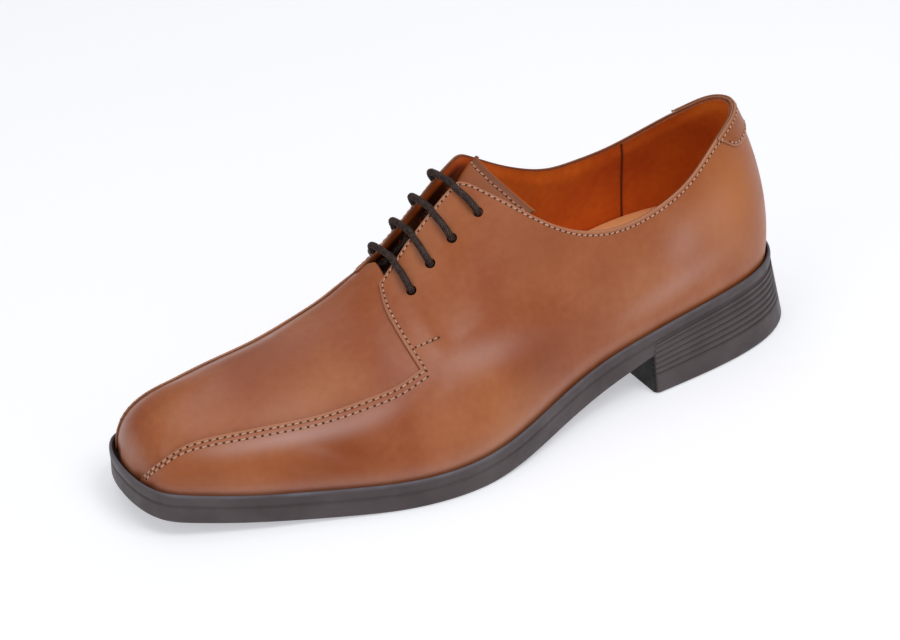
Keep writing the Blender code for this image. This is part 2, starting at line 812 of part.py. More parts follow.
def under_panel(side, station, share):
    """Cord centre lying against the inside of the upper."""
    offset = np.array([-WALL - LACE_RADIUS - LACE_GAP])
    return shell_point(side, np.array([station]), np.array([share]), offset)[0]


def over_edge(side, station):
    """Cord centre where it bends over the edge of the slit."""
    place = np.array([station])
    share = topline_share(side, place)
    edge = shell_point(side, place, share, np.array([STEP]))[0]
    outward = unit(last_normal(side, place, share)[0] + (0, 0, 1))
    return edge + outward * (LACE_RADIUS + LACE_GAP)


def bar_points(row, start_side):
    """Cord centre from under one hole, up through it, over both facings and down the other."""
    halves = []
    for side in (start_side, -start_side):
        station, share = hole_place(side, row)
        lean = HOLES[row][4 if side > 0 else 5] - station
        edge = float(topline_share(side, np.array([station + lean]))[0])
        centre, normal = hole_frame(side, row)
        half = [under_panel(side, station, share), centre + normal * STEP / 2]
        for way, extra in LACE_OVER_FACING:
            point = over_panel(side, station + lean * way, share + (edge - share) * way)
            half.append(point + normal * extra)
        half.append(over_edge(side, station + lean))
        halves.append(half)
    first, second = halves
    return first + second[::-1]


def lace_route():
    points = []
    side = 1
    rows = range(len(HOLES))
    for row in rows:
        points += bar_points(row, side)
        side = -side
        if row + 1 in rows:
            ends = np.array([hole_place(side, row), hole_place(side, row + 1)])
            points.append(under_panel(side, *ends.mean(axis=0)))
    for row in reversed(rows):
        station, share = hole_place(1, row)
        points.append(under_panel(1, station - LACE_RETURN_LEAD, share - LACE_RETURN_DROP))
    return np.array(points)


def make_lace(collection):
    route = lace_route()
    legs = np.linalg.norm(np.diff(route, axis=0), axis=1)
    knots = np.concatenate([[0.0], np.cumsum(np.sqrt(legs))])
    count = len(legs) * LACE_POINTS_PER_LEG + 1
    places = np.interp(np.arange(count) / LACE_POINTS_PER_LEG, np.arange(len(knots)), knots)
    path = smooth(knots, route)(places)
    data = bpy.data.curves.new("lace", "CURVE")
    data.dimensions = "3D"
    data.bevel_depth = LACE_RADIUS * MM
    data.bevel_resolution = 2
    data.use_fill_caps = True
    spline = data.splines.new("POLY")
    spline.points.add(len(path) - 1)
    for point, place in zip(spline.points, path * MM):
        point.co = (*place, 1.0)
    lace = bpy.data.objects.new("lace", data)
    collection.objects.link(lace)
    return lace


# Heel tab, a patch of the upper's own surface over the top of the back

def make_heel_tab(collection):
    reach = np.linspace(TAB_EDGE[0, 0], HEEL_STATION, TAB_COLUMNS)
    outer = []
    inner = []
    for part in np.linspace(0, 1, TAB_ROWS):
        for side, stations in ((1, reach), (-1, reach[-2::-1])):
            low = tab_share(stations)
            share = low + part * (topline_share(side, stations) - low)
            base = np.full(len(stations), STEP + CLEAR)
            inner.append(shell_point(side, stations, share, base))
            outer.append(shell_point(side, stations, share, base + TAB_THICK))
    points = np.concatenate(outer), np.concatenate(inner)
    faces = sheet_faces(TAB_ROWS, 2 * TAB_COLUMNS - 1)
    return new_object("heel_tab", *thick_sheet(*points, faces), collection)


def clear_scene():
    for obj in list(bpy.data.objects):
        bpy.data.objects.remove(obj, do_unlink=True)


def new_collection(name):
    collection = bpy.data.collections.new(name)
    bpy.context.scene.collection.children.link(collection)
    return collection


def main():
    clear_scene()
    parts = new_collection("lace_up_shoe")
    cutters = new_collection("cutters")
    root = bpy.data.objects.new("shoe_root", None)
    parts.objects.link(root)
    sole = make_sole_plate(parts)
    heel = make_heel_block(cutters)
    cut(sole, heel, "UNION")
    upper = make_upper(parts)
    tools = [heel]
    for side in (1, -1):
        for row in range(len(HOLES)):
            cutter = make_hole_cutter(side, row, cutters)
            cut(upper, cutter)
            tools.append(cutter)
    pieces = [sole, upper, make_insole(parts), make_tongue(parts), make_lace(parts), make_heel_tab(parts)]
    for piece in pieces:
        finish(piece, root)
    for tool in tools:
        tool.parent = root
    back = HEEL_PROUD + (HEEL_FLARE + HEEL_BACK_FLARE) * (1 - HEEL_BEVEL_SHARE)
    low = EDGE_LINE.min(axis=0) - (back, 0)
    centre = (low + EDGE_LINE.max(axis=0)) / 2
    root.location = (-centre[0] * MM, -centre[1] * MM, 0.0)


main()
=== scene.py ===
"""Looks of the left lace-up shoe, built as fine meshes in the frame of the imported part.

Tables and sizes are in millimetres, in the shoe's own axes: x runs from the back of the heel to the
toe, y to the outer (lateral) side, z up from the floor. place() moves points into the frame.
"""

import math

import bmesh
import bpy
import numpy as np
from mathutils import Matrix, Vector


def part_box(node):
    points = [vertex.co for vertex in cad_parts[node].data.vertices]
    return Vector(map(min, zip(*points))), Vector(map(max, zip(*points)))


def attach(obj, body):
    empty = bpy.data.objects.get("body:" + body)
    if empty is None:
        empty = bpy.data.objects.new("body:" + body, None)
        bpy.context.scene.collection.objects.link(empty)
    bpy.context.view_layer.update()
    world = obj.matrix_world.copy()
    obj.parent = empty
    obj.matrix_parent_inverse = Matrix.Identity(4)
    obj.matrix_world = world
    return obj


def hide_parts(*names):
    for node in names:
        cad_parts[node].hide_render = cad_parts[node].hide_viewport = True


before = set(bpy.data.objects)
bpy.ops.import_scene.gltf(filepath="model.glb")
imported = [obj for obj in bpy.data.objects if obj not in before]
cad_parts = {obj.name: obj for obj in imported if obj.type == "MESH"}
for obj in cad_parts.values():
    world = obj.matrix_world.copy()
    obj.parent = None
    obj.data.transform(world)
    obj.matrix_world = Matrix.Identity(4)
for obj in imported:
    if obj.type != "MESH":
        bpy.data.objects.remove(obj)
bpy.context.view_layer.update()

MM = 0.001
LATERAL = 1
MEDIAL = -1
SIDES = (LATERAL, MEDIAL)
SIDE_NAME = {LATERAL: "lateral", MEDIAL: "medial"}

# Driving sizes, as in the part
LENGTH = 302.0
WALL = 1.8
STEP = 1.1
CLEAR = 0.3
RIM_WIDTH = 2.2
SEAT_DEPTH = 3.0
INSOLE_THICK = 2.4
HEEL_PAD = 11.5
HEEL_PAD_BACK_X = 78.0
HEEL_PAD_FRONT_X = 150.0
TONGUE_THICK = 2.0
TAB_THICK = 1.0
HOLE_RADIUS = 2.1
THROAT_Y = -4.0
HEEL_BREAST_X = 80.5
HEEL_FLARE = 2.6
HEEL_BACK_FLARE = 3.5
HEEL_PROUD = 0.4
HEEL_TOP_DROP = 6.0
HEEL_GROOVES = 6
HEEL_PLAIN_SHARE = 0.36
HEEL_CORNER = 2.0
GROOVE_DEPTH = 0.75
WAIST_RISE = 16.8
WAIST_POWER = 1.6
FLAT_START_X = 174.0
FLAT_END_X = 208.0
TOE_SPRING = 7.7
TOE_POWER = 1.7

# Sole edge seen from above: x, lateral half width, medial half width
OUTLINE = np.array([
    (0.0, 0.0, 0.0),
    (3.2, 13.0, 13.0),
    (12.0, 23.5, 23.5),
    (30.0, 32.2, 32.2),
    (55.0, 37.0, 36.0),
    (80.0, 39.5, 35.0),
    (105.0, 42.2, 29.5),
    (130.0, 49.0, 26.0),
    (155.0, 58.0, 27.5),
    (180.0, 62.8, 33.5),
    (205.0, 60.3, 40.0),
    (228.0, 52.8, 43.0),
    (250.0, 44.7, 42.0),
    (270.0, 37.0, 38.0),
    (285.0, 30.3, 31.5),
    (295.0, 24.0, 25.5),
    (300.2, 14.0, 16.0),
    (LENGTH, 0.0, 0.0),
])
OUTLINE_STEPS = 720

# Top of the sole rim: x, height
RIM_HEIGHT = np.array([
    (0.0, 33.3),
    (40.0, 32.3),
    (80.0, 28.0),
    (120.0, 20.8),
    (160.0, 14.1),
    (200.0, 12.3),
    (240.0, 13.7),
    (270.0, 16.1),
    (LENGTH, 20.5),
])

# Sections of the last, toe to heel. Each runs from a foot on the sole up to the ridge of the last.
RIB_COLUMNS = ("foot_x", "top_x", "ridge_y", "ridge_z", "spread_lateral", "spread_medial",
               "drop_lateral", "drop_medial", "rise", "swell_lateral", "swell_medial")
RIB_ROWS = [
    (LENGTH, 262.0, -1.0, 47.5, 30.0, 30.0, 0.0, 0.0, 16.0, 0.6, 0.6),
    (296.5, 257.0, -1.0, 48.0, 34.0, 29.0, 0.0, 0.0, 15.0, 0.6, 0.4),
    (284.0, 249.0, -1.0, 49.0, 32.0, 24.0, 0.0, 0.0, 15.0, 0.6, 0.4),
    (266.0, 238.0, -1.5, 50.5, 31.0, 19.5, 0.0, 0.0, 16.0, 0.5, 0.6),
    (246.0, 223.0, -2.5, 53.2, 32.0, 18.0, 0.0, 0.0, 17.0, 0.5, 0.8),
    (224.0, 207.0, -3.5, 58.2, 33.0, 20.0, 0.0, 0.0, 18.0, 1.0, 1.0),
    (203.0, 192.0, -4.5, 65.5, 30.0, 19.0, 0.0, 1.0, 22.0, 1.5, 0.5),
    (182.0, 178.0, -6.0, 78.0, 23.0, 15.0, 4.0, 9.0, 26.0, 2.0, 0.0),
    (162.0, 164.0, -6.5, 92.2, 19.0, 13.0, 6.0, 13.0, 30.0, 2.0, 0.0),
    (143.0, 150.0, -6.5, 106.0, 18.0, 13.0, 8.0, 15.0, 34.0, 1.0, 0.0),
    (124.0, 133.0, -5.5, 116.0, 19.0, 16.0, 10.0, 14.0, 36.0, 0.5, 0.5),
    (104.0, 112.0, -3.0, 120.0, 21.0, 21.0, 10.0, 11.0, 34.0, 0.5, 1.0),
    (80.0, 90.0, -2.0, 119.0, 23.0, 22.0, 8.0, 8.0, 32.0, 1.0, 1.0),
    (52.0, 66.0, -1.0, 121.0, 18.0, 18.0, 8.0, 8.0, 34.0, 2.0, 2.0),
    (27.0, 49.0, 0.0, 125.0, 12.0, 12.0, 10.0, 10.0, 38.0, 3.5, 3.5),
    (8.0, 40.0, 0.0, 128.0, 12.0, 12.0, 14.0, 14.0, 42.0, 4.5, 4.5),
    (0.0, 36.5, 0.0, 129.0, 15.0, 15.0, 16.0, 16.0, 44.0, 4.5, 4.5),
]
RIB = dict(zip(RIB_COLUMNS, np.array(RIB_ROWS).T))
HEEL_STATION = len(RIB_ROWS) - 1.0
STATION_LENGTH = 18.0
THROAT_STATION = 6.45
CROWN_STATION = 6.5
SLIT_END_STATION = 10.6
RIDGE_STEEPEST = 0.6
RIDGE_FADE_START = 5.0
RIDGE_FADE_END = 7.0

# Collar edge: x, lateral height, medial height
COLLAR = np.array([
    (8.0, 102.0, 102.0),
    (17.0, 101.6, 101.6),
    (22.0, 99.6, 99.5),
    (28.0, 97.4, 95.6),
    (35.0, 94.2, 91.7),
    (43.0, 89.6, 87.3),
    (50.0, 85.5, 83.9),
    (62.0, 80.5, 79.9),
    (75.0, 77.2, 78.4),
    (90.0, 75.7, 79.3),
    (105.0, 77.9, 85.0),
    (120.0, 84.8, 93.5),
    (135.0, 95.3, 103.6),
    (150.0, 104.5, 113.5),
    (170.0, 116.0, 127.0),
])
CORNER_BLEND = 0.07

# Lace slit: x, lateral half gap, medial half gap
SLIT = np.array([
    (135.0, 5.5, 4.8),
    (155.0, 5.0, 5.4),
    (164.0, 5.0, 6.0),
    (172.0, 5.3, 6.6),
    (180.0, 6.6, 7.3),
    (190.0, 9.5, 8.2),
])

# Edge of each side panel over the toe plug: station, share of the section's height
SEAM = {
    LATERAL: np.array([
        (0.38, 0.01),
        (0.5, 0.10),
        (0.9, 0.31),
        (1.3, 0.43),
        (1.9, 0.49),
        (2.5, 0.505),
        (4.2, 0.50),
        (5.4, 0.495),
        (6.1, 0.478),
        (6.55, 0.477),
        (8.0, 0.43),
        (10.0, 0.35),
        (12.0, 0.25),
        (HEEL_STATION, 0.30),
    ]),
    MEDIAL: np.array([
        (0.74, 0.01),
        (0.82, 0.17),
        (0.95, 0.36),
        (1.2, 0.57),
        (1.6, 0.622),
        (2.5, 0.614),
        (3.2, 0.636),
        (4.2, 0.652),
        (5.0, 0.685),
        (5.6, 0.72),
        (6.1, 0.743),
        (6.55, 0.75),
        (8.0, 0.60),
        (10.0, 0.45),
        (12.0, 0.27),
        (HEEL_STATION, 0.30),
    ]),
}

# Front edge of the lace facing on each side: share of the section's height, station
FACING_CORNER_STATION = 6.55
FACING_EDGE = {
    LATERAL: np.array([
        (0.477, FACING_CORNER_STATION),
        (0.567, 6.44),
        (0.688, 6.33),
        (0.809, 6.33),
        (0.882, 6.43),
        (1.0, CROWN_STATION),
    ]),
    MEDIAL: np.array([
        (0.75, FACING_CORNER_STATION),
        (0.80, 6.48),
        (0.86, 6.45),
        (1.0, CROWN_STATION),
    ]),
}

# Lace holes, top row first: station and share of the lateral hole, of the medial hole,
# and the stations at which the lace crosses the lateral and the medial edge of the slit
HOLES = [
    (9.16, 0.719, 9.03, 0.752, 8.95, 8.78),
    (8.38, 0.728, 8.43, 0.740, 8.27, 8.18),
    (7.69, 0.735, 7.84, 0.730, 7.64, 7.59),
    (7.04, 0.728, 7.21, 0.710, 7.00, 6.96),
]

# Lower edge of the heel tab: station, share of the section's height
TAB_EDGE = np.array([
    (14.16, 0.545),
    (14.3, 0.532),
    (14.45, 0.508),
    (14.65, 0.488),
    (14.95, 0.484),
    (15.4, 0.492),
    (HEEL_STATION, 0.498),
])

# Tongue: station, lateral and medial share of its edges, their depths under the last's surface,
# depth of its middle under the ridge, slant of the row
TONGUE = np.array([
    (5.7, 0.82, 0.82, 2.6, 2.6, 3.4, 0.0),
    (6.2, 0.80, 0.82, 3.6, 3.4, 5.2, 0.0),
    (6.9, 0.68, 0.72, 7.8, 6.8, 9.8, 0.0),
    (8.0, 0.62, 0.66, 8.0, 7.2, 13.5, 0.0),
    (9.0, 0.60, 0.66, 8.0, 7.2, 16.0, 0.0),
    (9.3, 0.60, 0.78, 7.8, 4.2, 16.5, 0.05),
    (9.6, 0.60, 0.83, 7.6, 3.0, 16.8, 0.1),
    (10.1, 0.60, 0.855, 7.0, 2.6, 17.0, 0.3),
])

# Lace: radius, height over the leather, extra height at each edge of the slit, braid, mesh,
# and where the return inside passes the lateral holes
LACE_RADIUS = 1.4
LACE_LIFT = 0.05
LACE_EDGE_LIFT = {LATERAL: -1.0, MEDIAL: 1.4}
LACE_STRANDS = 8
LACE_BRAID_PITCH = 7.0
LACE_BRAID_DEPTH = 0.3
LACE_BRAID_MIDDLE = 0.6
LACE_SEGMENTS = 44
LACE_SAMPLES = 3000
LACE_STEP = 0.28
LACE_TIP = 0.02
LACE_START_UP = (0.3, 0.2, 1.0)
STRAND_ROUND = 0.6
STRAND_DIP = 0.3
LACE_RETURN_LEAD = 0.1
LACE_RETURN_DROP = 0.075
# Way from a hole to the edge of the slit, extra height of the cord there
LACE_OVER_FACING = [
    (0.16, 0.3),
    (0.6, -0.25),
    (0.93, -0.7),
]

# Soft ridges and troughs of the worn leather: side, station, share, length along the shoe,
# length up the side, turn in degrees, height
RELIEF = [
    (LATERAL, 7.45, 0.46, 13.0, 6.0, -14.0, 0.9),
    (LATERAL, 7.9, 0.345, 17.0, 6.0, -24.0, -0.8),
    (LATERAL, 9.1, 0.43, 16.0, 6.5, -30.0, -0.6),
    (LATERAL, 5.0, 0.41, 17.0, 4.5, 5.0, 0.45),
    (LATERAL, 5.9, 0.31, 15.0, 6.0, -16.0, -0.6),
    (LATERAL, 4.65, 0.295, 14.0, 4.0, -36.0, -0.75),
    (LATERAL, 4.35, 0.20, 14.0, 5.0, -36.0, 0.45),
    (LATERAL, 5.6, 0.66, 8.0, 16.0, 20.0, -0.35),
    (LATERAL, 12.2, 0.30, 16.0, 9.0, 15.0, 0.5),
    (MEDIAL, 7.6, 0.44, 14.0, 6.0, -14.0, 0.8),
    (MEDIAL, 8.2, 0.33, 18.0, 6.0, -20.0, -0.7),
    (MEDIAL, 5.6, 0.36, 17.0, 6.0, -8.0, -0.6),
    (MEDIAL, 5.0, 0.44, 15.0, 5.0, 5.0, 0.4),
    (MEDIAL, 5.6, 0.68, 9.0, 14.0, -20.0, -0.3),
]
# Painted highlights, places mixed pale where light would gleam on the leather, with the same columns, the
# last one from 0 to 1
PAINTED_HIGHLIGHTS = [
    (LATERAL, 2.7, 0.405, 16.0, 4.0, 0.0, 0.35),
    (LATERAL, 4.1, 0.408, 22.0, 4.0, 0.0, 0.8),
    (LATERAL, 5.5, 0.41, 12.0, 4.0, 0.0, 0.3),
    (LATERAL, 7.85, 0.375, 22.0, 5.0, -22.0, 0.5),
    (LATERAL, 12.75, 0.30, 6.0, 8.0, 0.0, 0.32),
    (LATERAL, 13.5, 0.33, 10.0, 12.0, 0.0, 0.2),
    (LATERAL, 12.5, 0.16, 16.0, 4.5, 8.0, 0.4),
    (LATERAL, 6.1, 0.60, 6.0, 12.0, 0.0, 0.15),
    (LATERAL, 4.3, 1.0, 30.0, 10.0, 0.0, 0.2),
    (MEDIAL, 4.3, 1.0, 30.0, 10.0, 0.0, 0.2),
    (LATERAL, 1.4, 0.85, 22.0, 16.0, 0.0, 0.15),
    (MEDIAL, 1.4, 0.85, 22.0, 16.0, 0.0, 0.15),
    (LATERAL, 3.2, 0.07, 60.0, 3.0, 0.0, 0.3),
    (LATERAL, 9.0, 0.05, 70.0, 3.0, 0.0, 0.3),
    (LATERAL, 0.0, 0.20, 9.0, 10.0, 0.0, 0.2),
    (MEDIAL, 0.0, 0.20, 9.0, 10.0, 0.0, 0.2),
    (MEDIAL, 4.0, 0.55, 22.0, 5.0, 0.0, 0.4),
    (MEDIAL, 7.8, 0.40, 20.0, 5.0, -20.0, 0.4),
    (MEDIAL, 12.6, 0.28, 12.0, 9.0, 0.0, 0.25),
]
# Spots where the leather's colour is mixed darker or warmer: side, station, share, radius, strength,
# tone. The darker ones stand partly for the leather's own uneven colour and partly for painted shade in
# its creases.
DARK_TONE_AND_SHADE = (0.225, 0.040, 0.006)
WARM_TINT = (0.530, 0.165, 0.026)
TINTS = [
    (LATERAL, 4.65, 0.235, 32.0, 0.6, DARK_TONE_AND_SHADE),
    (LATERAL, 9.3, 0.20, 28.0, 0.5, DARK_TONE_AND_SHADE),
    (LATERAL, 10.0, 0.53, 30.0, 0.35, DARK_TONE_AND_SHADE),
    (LATERAL, 2.1, 0.24, 28.0, 0.4, DARK_TONE_AND_SHADE),
    (LATERAL, 3.4, 0.85, 36.0, 0.3, DARK_TONE_AND_SHADE),
    (LATERAL, 13.9, 0.33, 34.0, 0.75, WARM_TINT),
    (MEDIAL, 4.8, 0.30, 32.0, 0.5, DARK_TONE_AND_SHADE),
    (MEDIAL, 9.3, 0.20, 28.0, 0.4, DARK_TONE_AND_SHADE),
    (MEDIAL, 13.9, 0.33, 34.0, 0.6, WARM_TINT),
]
# Trough in a side panel behind its overlap on the plug: depth, place and width
OVERLAP_TROUGH = 0.4
OVERLAP_WIDTH = 10.5
OVERLAP_FADE = 4.0

# Nearest to the toe and heel lines and to the ridge that a surface normal is measured
POLE_STATION = 0.02
POLE_SHARE = 0.996

# Share that counts as the ridge, distance that counts as none, and steps of lengths and of solving
RIDGE_SHARE = 0.9999
TINY = 1e-6
SECTION_SAMPLES = 25
HALVINGS = 36

# Leather sheets and their edges
EDGE_ROUND = 0.45
EDGE_WEAR = 1.3
TAB_EDGE_WEAR = 1.0
PANEL_BACK = 0.02
PANEL_LEAST = 0.5
PLUG_THICK = 1.2
PLUG_UNDERLAP = 7.0
PLUG_END_STATION = 6.62
PLUG_GRID = (70, 150)
TOE_FILL = 0.8
TOE_FILL_STATIONS = (0.12, 0.36)
TOE_FILL_SHARES = (0.04, 0.16)
RELIEF_END_SHARE = 0.98
LINING_INSET = 0.5
LINING_GAP = 0.15
LINING_SKIVE = 6.0
LINING_EDGE_SHARE = 0.3
LINING_SEAM_STATION = 13.08
LINING_SEAM_STEP = 0.5
LINING_SEAM_HALF = 0.0015
LINING_GROOVE_HALF = 0.002
LINING_GROOVE_DEPTH = 0.25
VAMP_LINING_GAPS = (0.05, 0.15)
VAMP_LINING_GRID = (36, 60)
TAB_SUNK = 0.1
TONGUE_WIDTH = 40.0
TONGUE_LINING_THICK = 0.8
TONGUE_LINING_REACH = 0.3
TONGUE_LINING_GAP = 0.02
HOLE_SEGMENTS = 32
PUNCH_DEPTH = 9.0

# Painted shade of the lining by distance from its edge and by station; on the tongue, a dark band along
# its top and painted shade by distance from its top
SLIT_SHADE = (2.0, 5.5)
SLIT_SHADE_STATIONS = (9.1, 9.9)
HEEL_SHADE = 0.12
HEEL_SHADE_STATIONS = (12.6, 13.8)
TONGUE_DARK = (13.0, 24.0)
TONGUE_EDGE_SHADE = 0.4

# Stitches: distance of each row from its edge, pitch, thread and needle holes
SEAM_ROW_INSETS = (1.5, 3.8)
SEAM_ROW_LOWEST = 0.045
SEAM_ROW_START = 0.12
SEAM_ROW_SLANT = 0.03
SEAM_ROW_PAST = 0.1
COLLAR_ROW_INSET = 1.7
FACING_ROW_INSET = 1.7
FACING_ROW_PAST = 0.02
TAB_ROW_INSET = 1.5
TAB_ROW_START = 0.3
TONGUE_ROW_INSET = 3.2
STITCH_PITCH = 2.5
SEAM_STITCH_PITCH = 3.0
STITCH_HALF_SHARE = 0.36
STITCH_TILT = 0.12
STITCH_BLUNT = 0.7
THREAD_RADIUS = 0.3
THREAD_LIFT = 0.08
FAR_THREAD_LIFT = -0.12
NEEDLE_HOLE = (0.62, 0.45, 0.12)
TACK = {LATERAL: ((6.62, 0.554), (7.17, 0.521)), MEDIAL: ((6.62, 0.795), (7.17, 0.755))}

# Side of the sole, upward: inset, height above the underside; then inset, depth below the rim's top
# and painted light, 1 for painted shade in the gap under the upper and below 0 for a painted highlight on
# the rim's top
SOLE_FOOT = [
    (3.0, 0.0),
    (0.6, 0.0),
    (0.2, 0.15),
    (0.0, 0.45),
    (-0.1, 1.0),
]
SOLE_SIDE = [
    (0.1, 6.3, 0.0),
    (0.12, 5.8, 0.0),
    (0.4, 5.4, 0.0),
    (0.5, 5.1, 0.0),
    (0.5, 4.7, 0.0),
    (0.35, 4.4, 0.0),
    (0.08, 4.15, 0.0),
    (0.0, 3.8, 0.0),
    (0.0, 1.5, 0.0),
    (0.08, 0.9, -0.4),
    (0.3, 0.4, -1.0),
    (0.65, 0.08, -1.0),
    (1.0, 0.0, -1.0),
    (RIM_WIDTH - 1.0, 0.04, 0.35),
    (RIM_WIDTH - 0.5, 0.45, 1.0),
    (RIM_WIDTH - 0.1, 1.2, 1.0),
    (RIM_WIDTH, SEAT_DEPTH, 1.0),
]

# Heel block: share of its height and inset of its foot, grooves, painted shade of its front
HEEL_FOOT = [
    (0.0, 3.0),
    (0.0, 0.8),
    (0.008, 0.35),
    (0.03, 0.0),
]
HEEL_PLAIN_START = 0.06
GROOVE_AT = 0.3
GROOVE_HALF = 0.17
GROOVE_STEPS = 10
BREAST_SHADE = 1.0
BREAST_SHADE_DEPTHS = (1.2, 0.3)

# Rounded edge of the insole: gap from the wall, drop below its top
INSOLE_EDGE = [
    (0.0, 1.4),
    (0.0, 0.7),
    (0.15, 0.3),
    (0.5, 0.07),
    (1.2, 0.0),
    (6.0, 0.0),
]

# Camera at the photograph's angle, in degrees and millimetres
CAMERA_AZIMUTH = 151.7
CAMERA_ELEVATION = 30.8
CAMERA_ROLL = -2.6
CAMERA_DISTANCE = 1100.0
CAMERA_TARGET = (154.4, 1.62, 40.0)
CAMERA_LENS = 107.84


# Curves

def smooth(knots, values):
    """Natural cubic spline through the values at the knots."""
    knots = np.asarray(knots, float)
    values = np.asarray(values, float)
    count = len(knots)
    span = np.diff(knots).reshape((-1,) + (1,) * (values.ndim - 1))
    slope = np.diff(values, axis=0) / span
    system = np.eye(count)
    right = np.zeros_like(values)
    for i in range(1, count - 1):
        before = knots[i] - knots[i - 1]
        after = knots[i + 1] - knots[i]
        system[i, i - 1:i + 2] = (before, 2 * (before + after), after)
        right[i] = 6 * (slope[i] - slope[i - 1])
    bend = np.linalg.solve(system, right)

    def at(place):
        place = np.asarray(place, float)
        k = np.clip(np.searchsorted(knots, place, side="right") - 1, 0, count - 2)
        shape = place.shape + (1,) * (values.ndim - 1)
        width = (knots[k + 1] - knots[k]).reshape(shape)
        a = (knots[k + 1] - place).reshape(shape)
        b = (place - knots[k]).reshape(shape)
        curved = (bend[k] * a ** 3 + bend[k + 1] * b ** 3) / (6 * width)
        return (curved + (values[k] / width - bend[k] * width / 6) * a
                + (values[k + 1] / width - bend[k + 1] * width / 6) * b)

    return at


def unit(vectors):
    return vectors / np.maximum(np.linalg.norm(vectors, axis=-1, keepdims=True), 1e-12)


def ease(value, start, end):
    """Smooth step from 0 at start to 1 at end."""
    t = np.clip((value - start) / (end - start), 0, 1)
    return t * t * (3 - 2 * t)


def table_curve(table, column=1):
    """Spline of one column of a table over its first."""
    return smooth(table[:, 0], table[:, column])


rim_height = table_curve(RIM_HEIGHT)
collar_height = {LATERAL: table_curve(COLLAR, 1), MEDIAL: table_curve(COLLAR, 2)}
seam_share = {side: table_curve(edge) for side, edge in SEAM.items()}
facing_station = {side: table_curve(edge) for side, edge in FACING_EDGE.items()}
tab_share = table_curve(TAB_EDGE)
ridge_height = smooth(RIB["top_x"][::-1], RIB["ridge_z"][::-1])


# Sole outline, a closed curve from the heel along the lateral side to the toe and back

def closed_outline():
    lateral = OUTLINE[:, :2]
    medial = OUTLINE[-2:0:-1, [0, 2]] * (1, -1)
    turn = np.concatenate([lateral, medial])
    laps = np.concatenate([turn, turn, turn, turn[:1]])
    length = np.concatenate([[0.0], np.cumsum(np.linalg.norm(np.diff(laps, axis=0), axis=1))])
    lap = length[len(turn)]
    places = lap + lap * np.arange(OUTLINE_STEPS) / OUTLINE_STEPS
    return smooth(length, laps)(places)


EDGE_LINE = closed_outline()
TOE_INDEX = int(np.argmax(EDGE_LINE[:, 0]))
_along = unit(np.roll(EDGE_LINE, -1, 0) - np.roll(EDGE_LINE, 1, 0))
EDGE_NORMAL = np.stack([-_along[:, 1], _along[:, 0]], 1)

_sole_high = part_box("sole")[1]
SHIFT = np.array([_sole_high.x - LENGTH * MM, _sole_high.y - EDGE_LINE[:, 1].max() * MM, 0.0])


def place(points):
    """Points of the shoe's own axes in the frame, in metres."""
    return np.asarray(points) * MM + SHIFT


def edge_place(x, side):
    """Place along the outline, in outline steps, of a given x on one side."""
    steps = np.arange(0, TOE_INDEX + 1) if side > 0 else np.arange(OUTLINE_STEPS, TOE_INDEX - 1, -1)
    return np.interp(x, EDGE_LINE[steps % OUTLINE_STEPS, 0], steps)


def edge_point(step, inset):
    """Point in plan on the outline moved inward, and the outward normal there."""
    step = np.asarray(step, float) % OUTLINE_STEPS
    low = np.floor(step).astype(int)
    part = (step - low)[..., None]
    high = (low + 1) % OUTLINE_STEPS
    low = low % OUTLINE_STEPS
    point = EDGE_LINE[low] * (1 - part) + EDGE_LINE[high] * part
    normal = unit(EDGE_NORMAL[low] * (1 - part) + EDGE_NORMAL[high] * part)
    return point - inset * normal, normal


# Surface of the last

def across_ends(own, other):
    """Spline over the stations of one side, continued past toe and heel by the other side."""
    stations = np.arange(len(own))
    reach = 3
    knots = np.concatenate([-stations[reach:0:-1], stations, stations[-1] + stations[1:reach + 1]])
    values = np.concatenate([other[0][reach:0:-1], own, other[1][-2:-2 - reach:-1]])
    return smooth(knots, values)


def side_curves(side):
    curves = {}
    for column in ("top_x", "ridge_y", "ridge_z", "rise"):
        curves[column] = across_ends(RIB[column], (RIB[column], RIB[column]))
    for column in ("spread", "drop", "swell"):
        own = RIB[column + "_" + SIDE_NAME[side]]
        other = RIB[column + "_" + SIDE_NAME[-side]]
        curves[column] = across_ends(own, (other, other))
    steps = {s: np.array([edge_place(x, s) for x in RIB["foot_x"]]) for s in SIDES}
    around = -OUTLINE_STEPS * side
    curves["step"] = across_ends(steps[side], (steps[-side], steps[-side] + around))
    return curves


CURVES = {side: side_curves(side) for side in SIDES}
FOOT_INSET = RIM_WIDTH + CLEAR + STEP


def seat_height(x):
    return rim_height(x) - SEAT_DEPTH


def ridge_slope(x, station):
    """Slope of the ridge along x as the section at a station takes it up."""
    near = 0.5
    slope = (ridge_height(x + near) - ridge_height(x - near)) / (2 * near)
    fade = ease(-station, -RIDGE_FADE_END, -RIDGE_FADE_START)
    return np.clip(slope, -RIDGE_STEEPEST, RIDGE_STEEPEST) * fade


def rib_controls(side, station):
    """Foot, two handles and ridge point of the section at a station."""
    curve = CURVES[side]
    plan, outward = edge_point(curve["step"](station), FOOT_INSET)
    foot = np.concatenate([plan, (seat_height(plan[..., 0]) + CLEAR)[..., None]], -1)
    top = np.stack([curve[name](station) for name in ("top_x", "ridge_y", "ridge_z")], -1)
    slope = ridge_slope(top[..., 0], station)
    lean = unit(foot[..., :2] - top[..., :2])
    spread = curve["spread"](station)
    lift = np.concatenate([outward * curve["swell"](station)[..., None],
                           curve["rise"](station)[..., None]], -1)
    sink = slope * lean[..., 0] * spread - curve["drop"](station)
    reach = np.concatenate([lean * spread[..., None], sink[..., None]], -1)
    return foot, foot + lift, top + reach, top


def last_point(side, station, share):
    """Point of the last at a station, a share of the way from the foot to the ridge."""
    foot, low, high, top = rib_controls(side, np.asarray(station, float))
    v = np.asarray(share, float)[..., None]
    w = 1 - v
    return w ** 3 * foot + 3 * w * w * v * low + 3 * w * v * v * high + v ** 3 * top


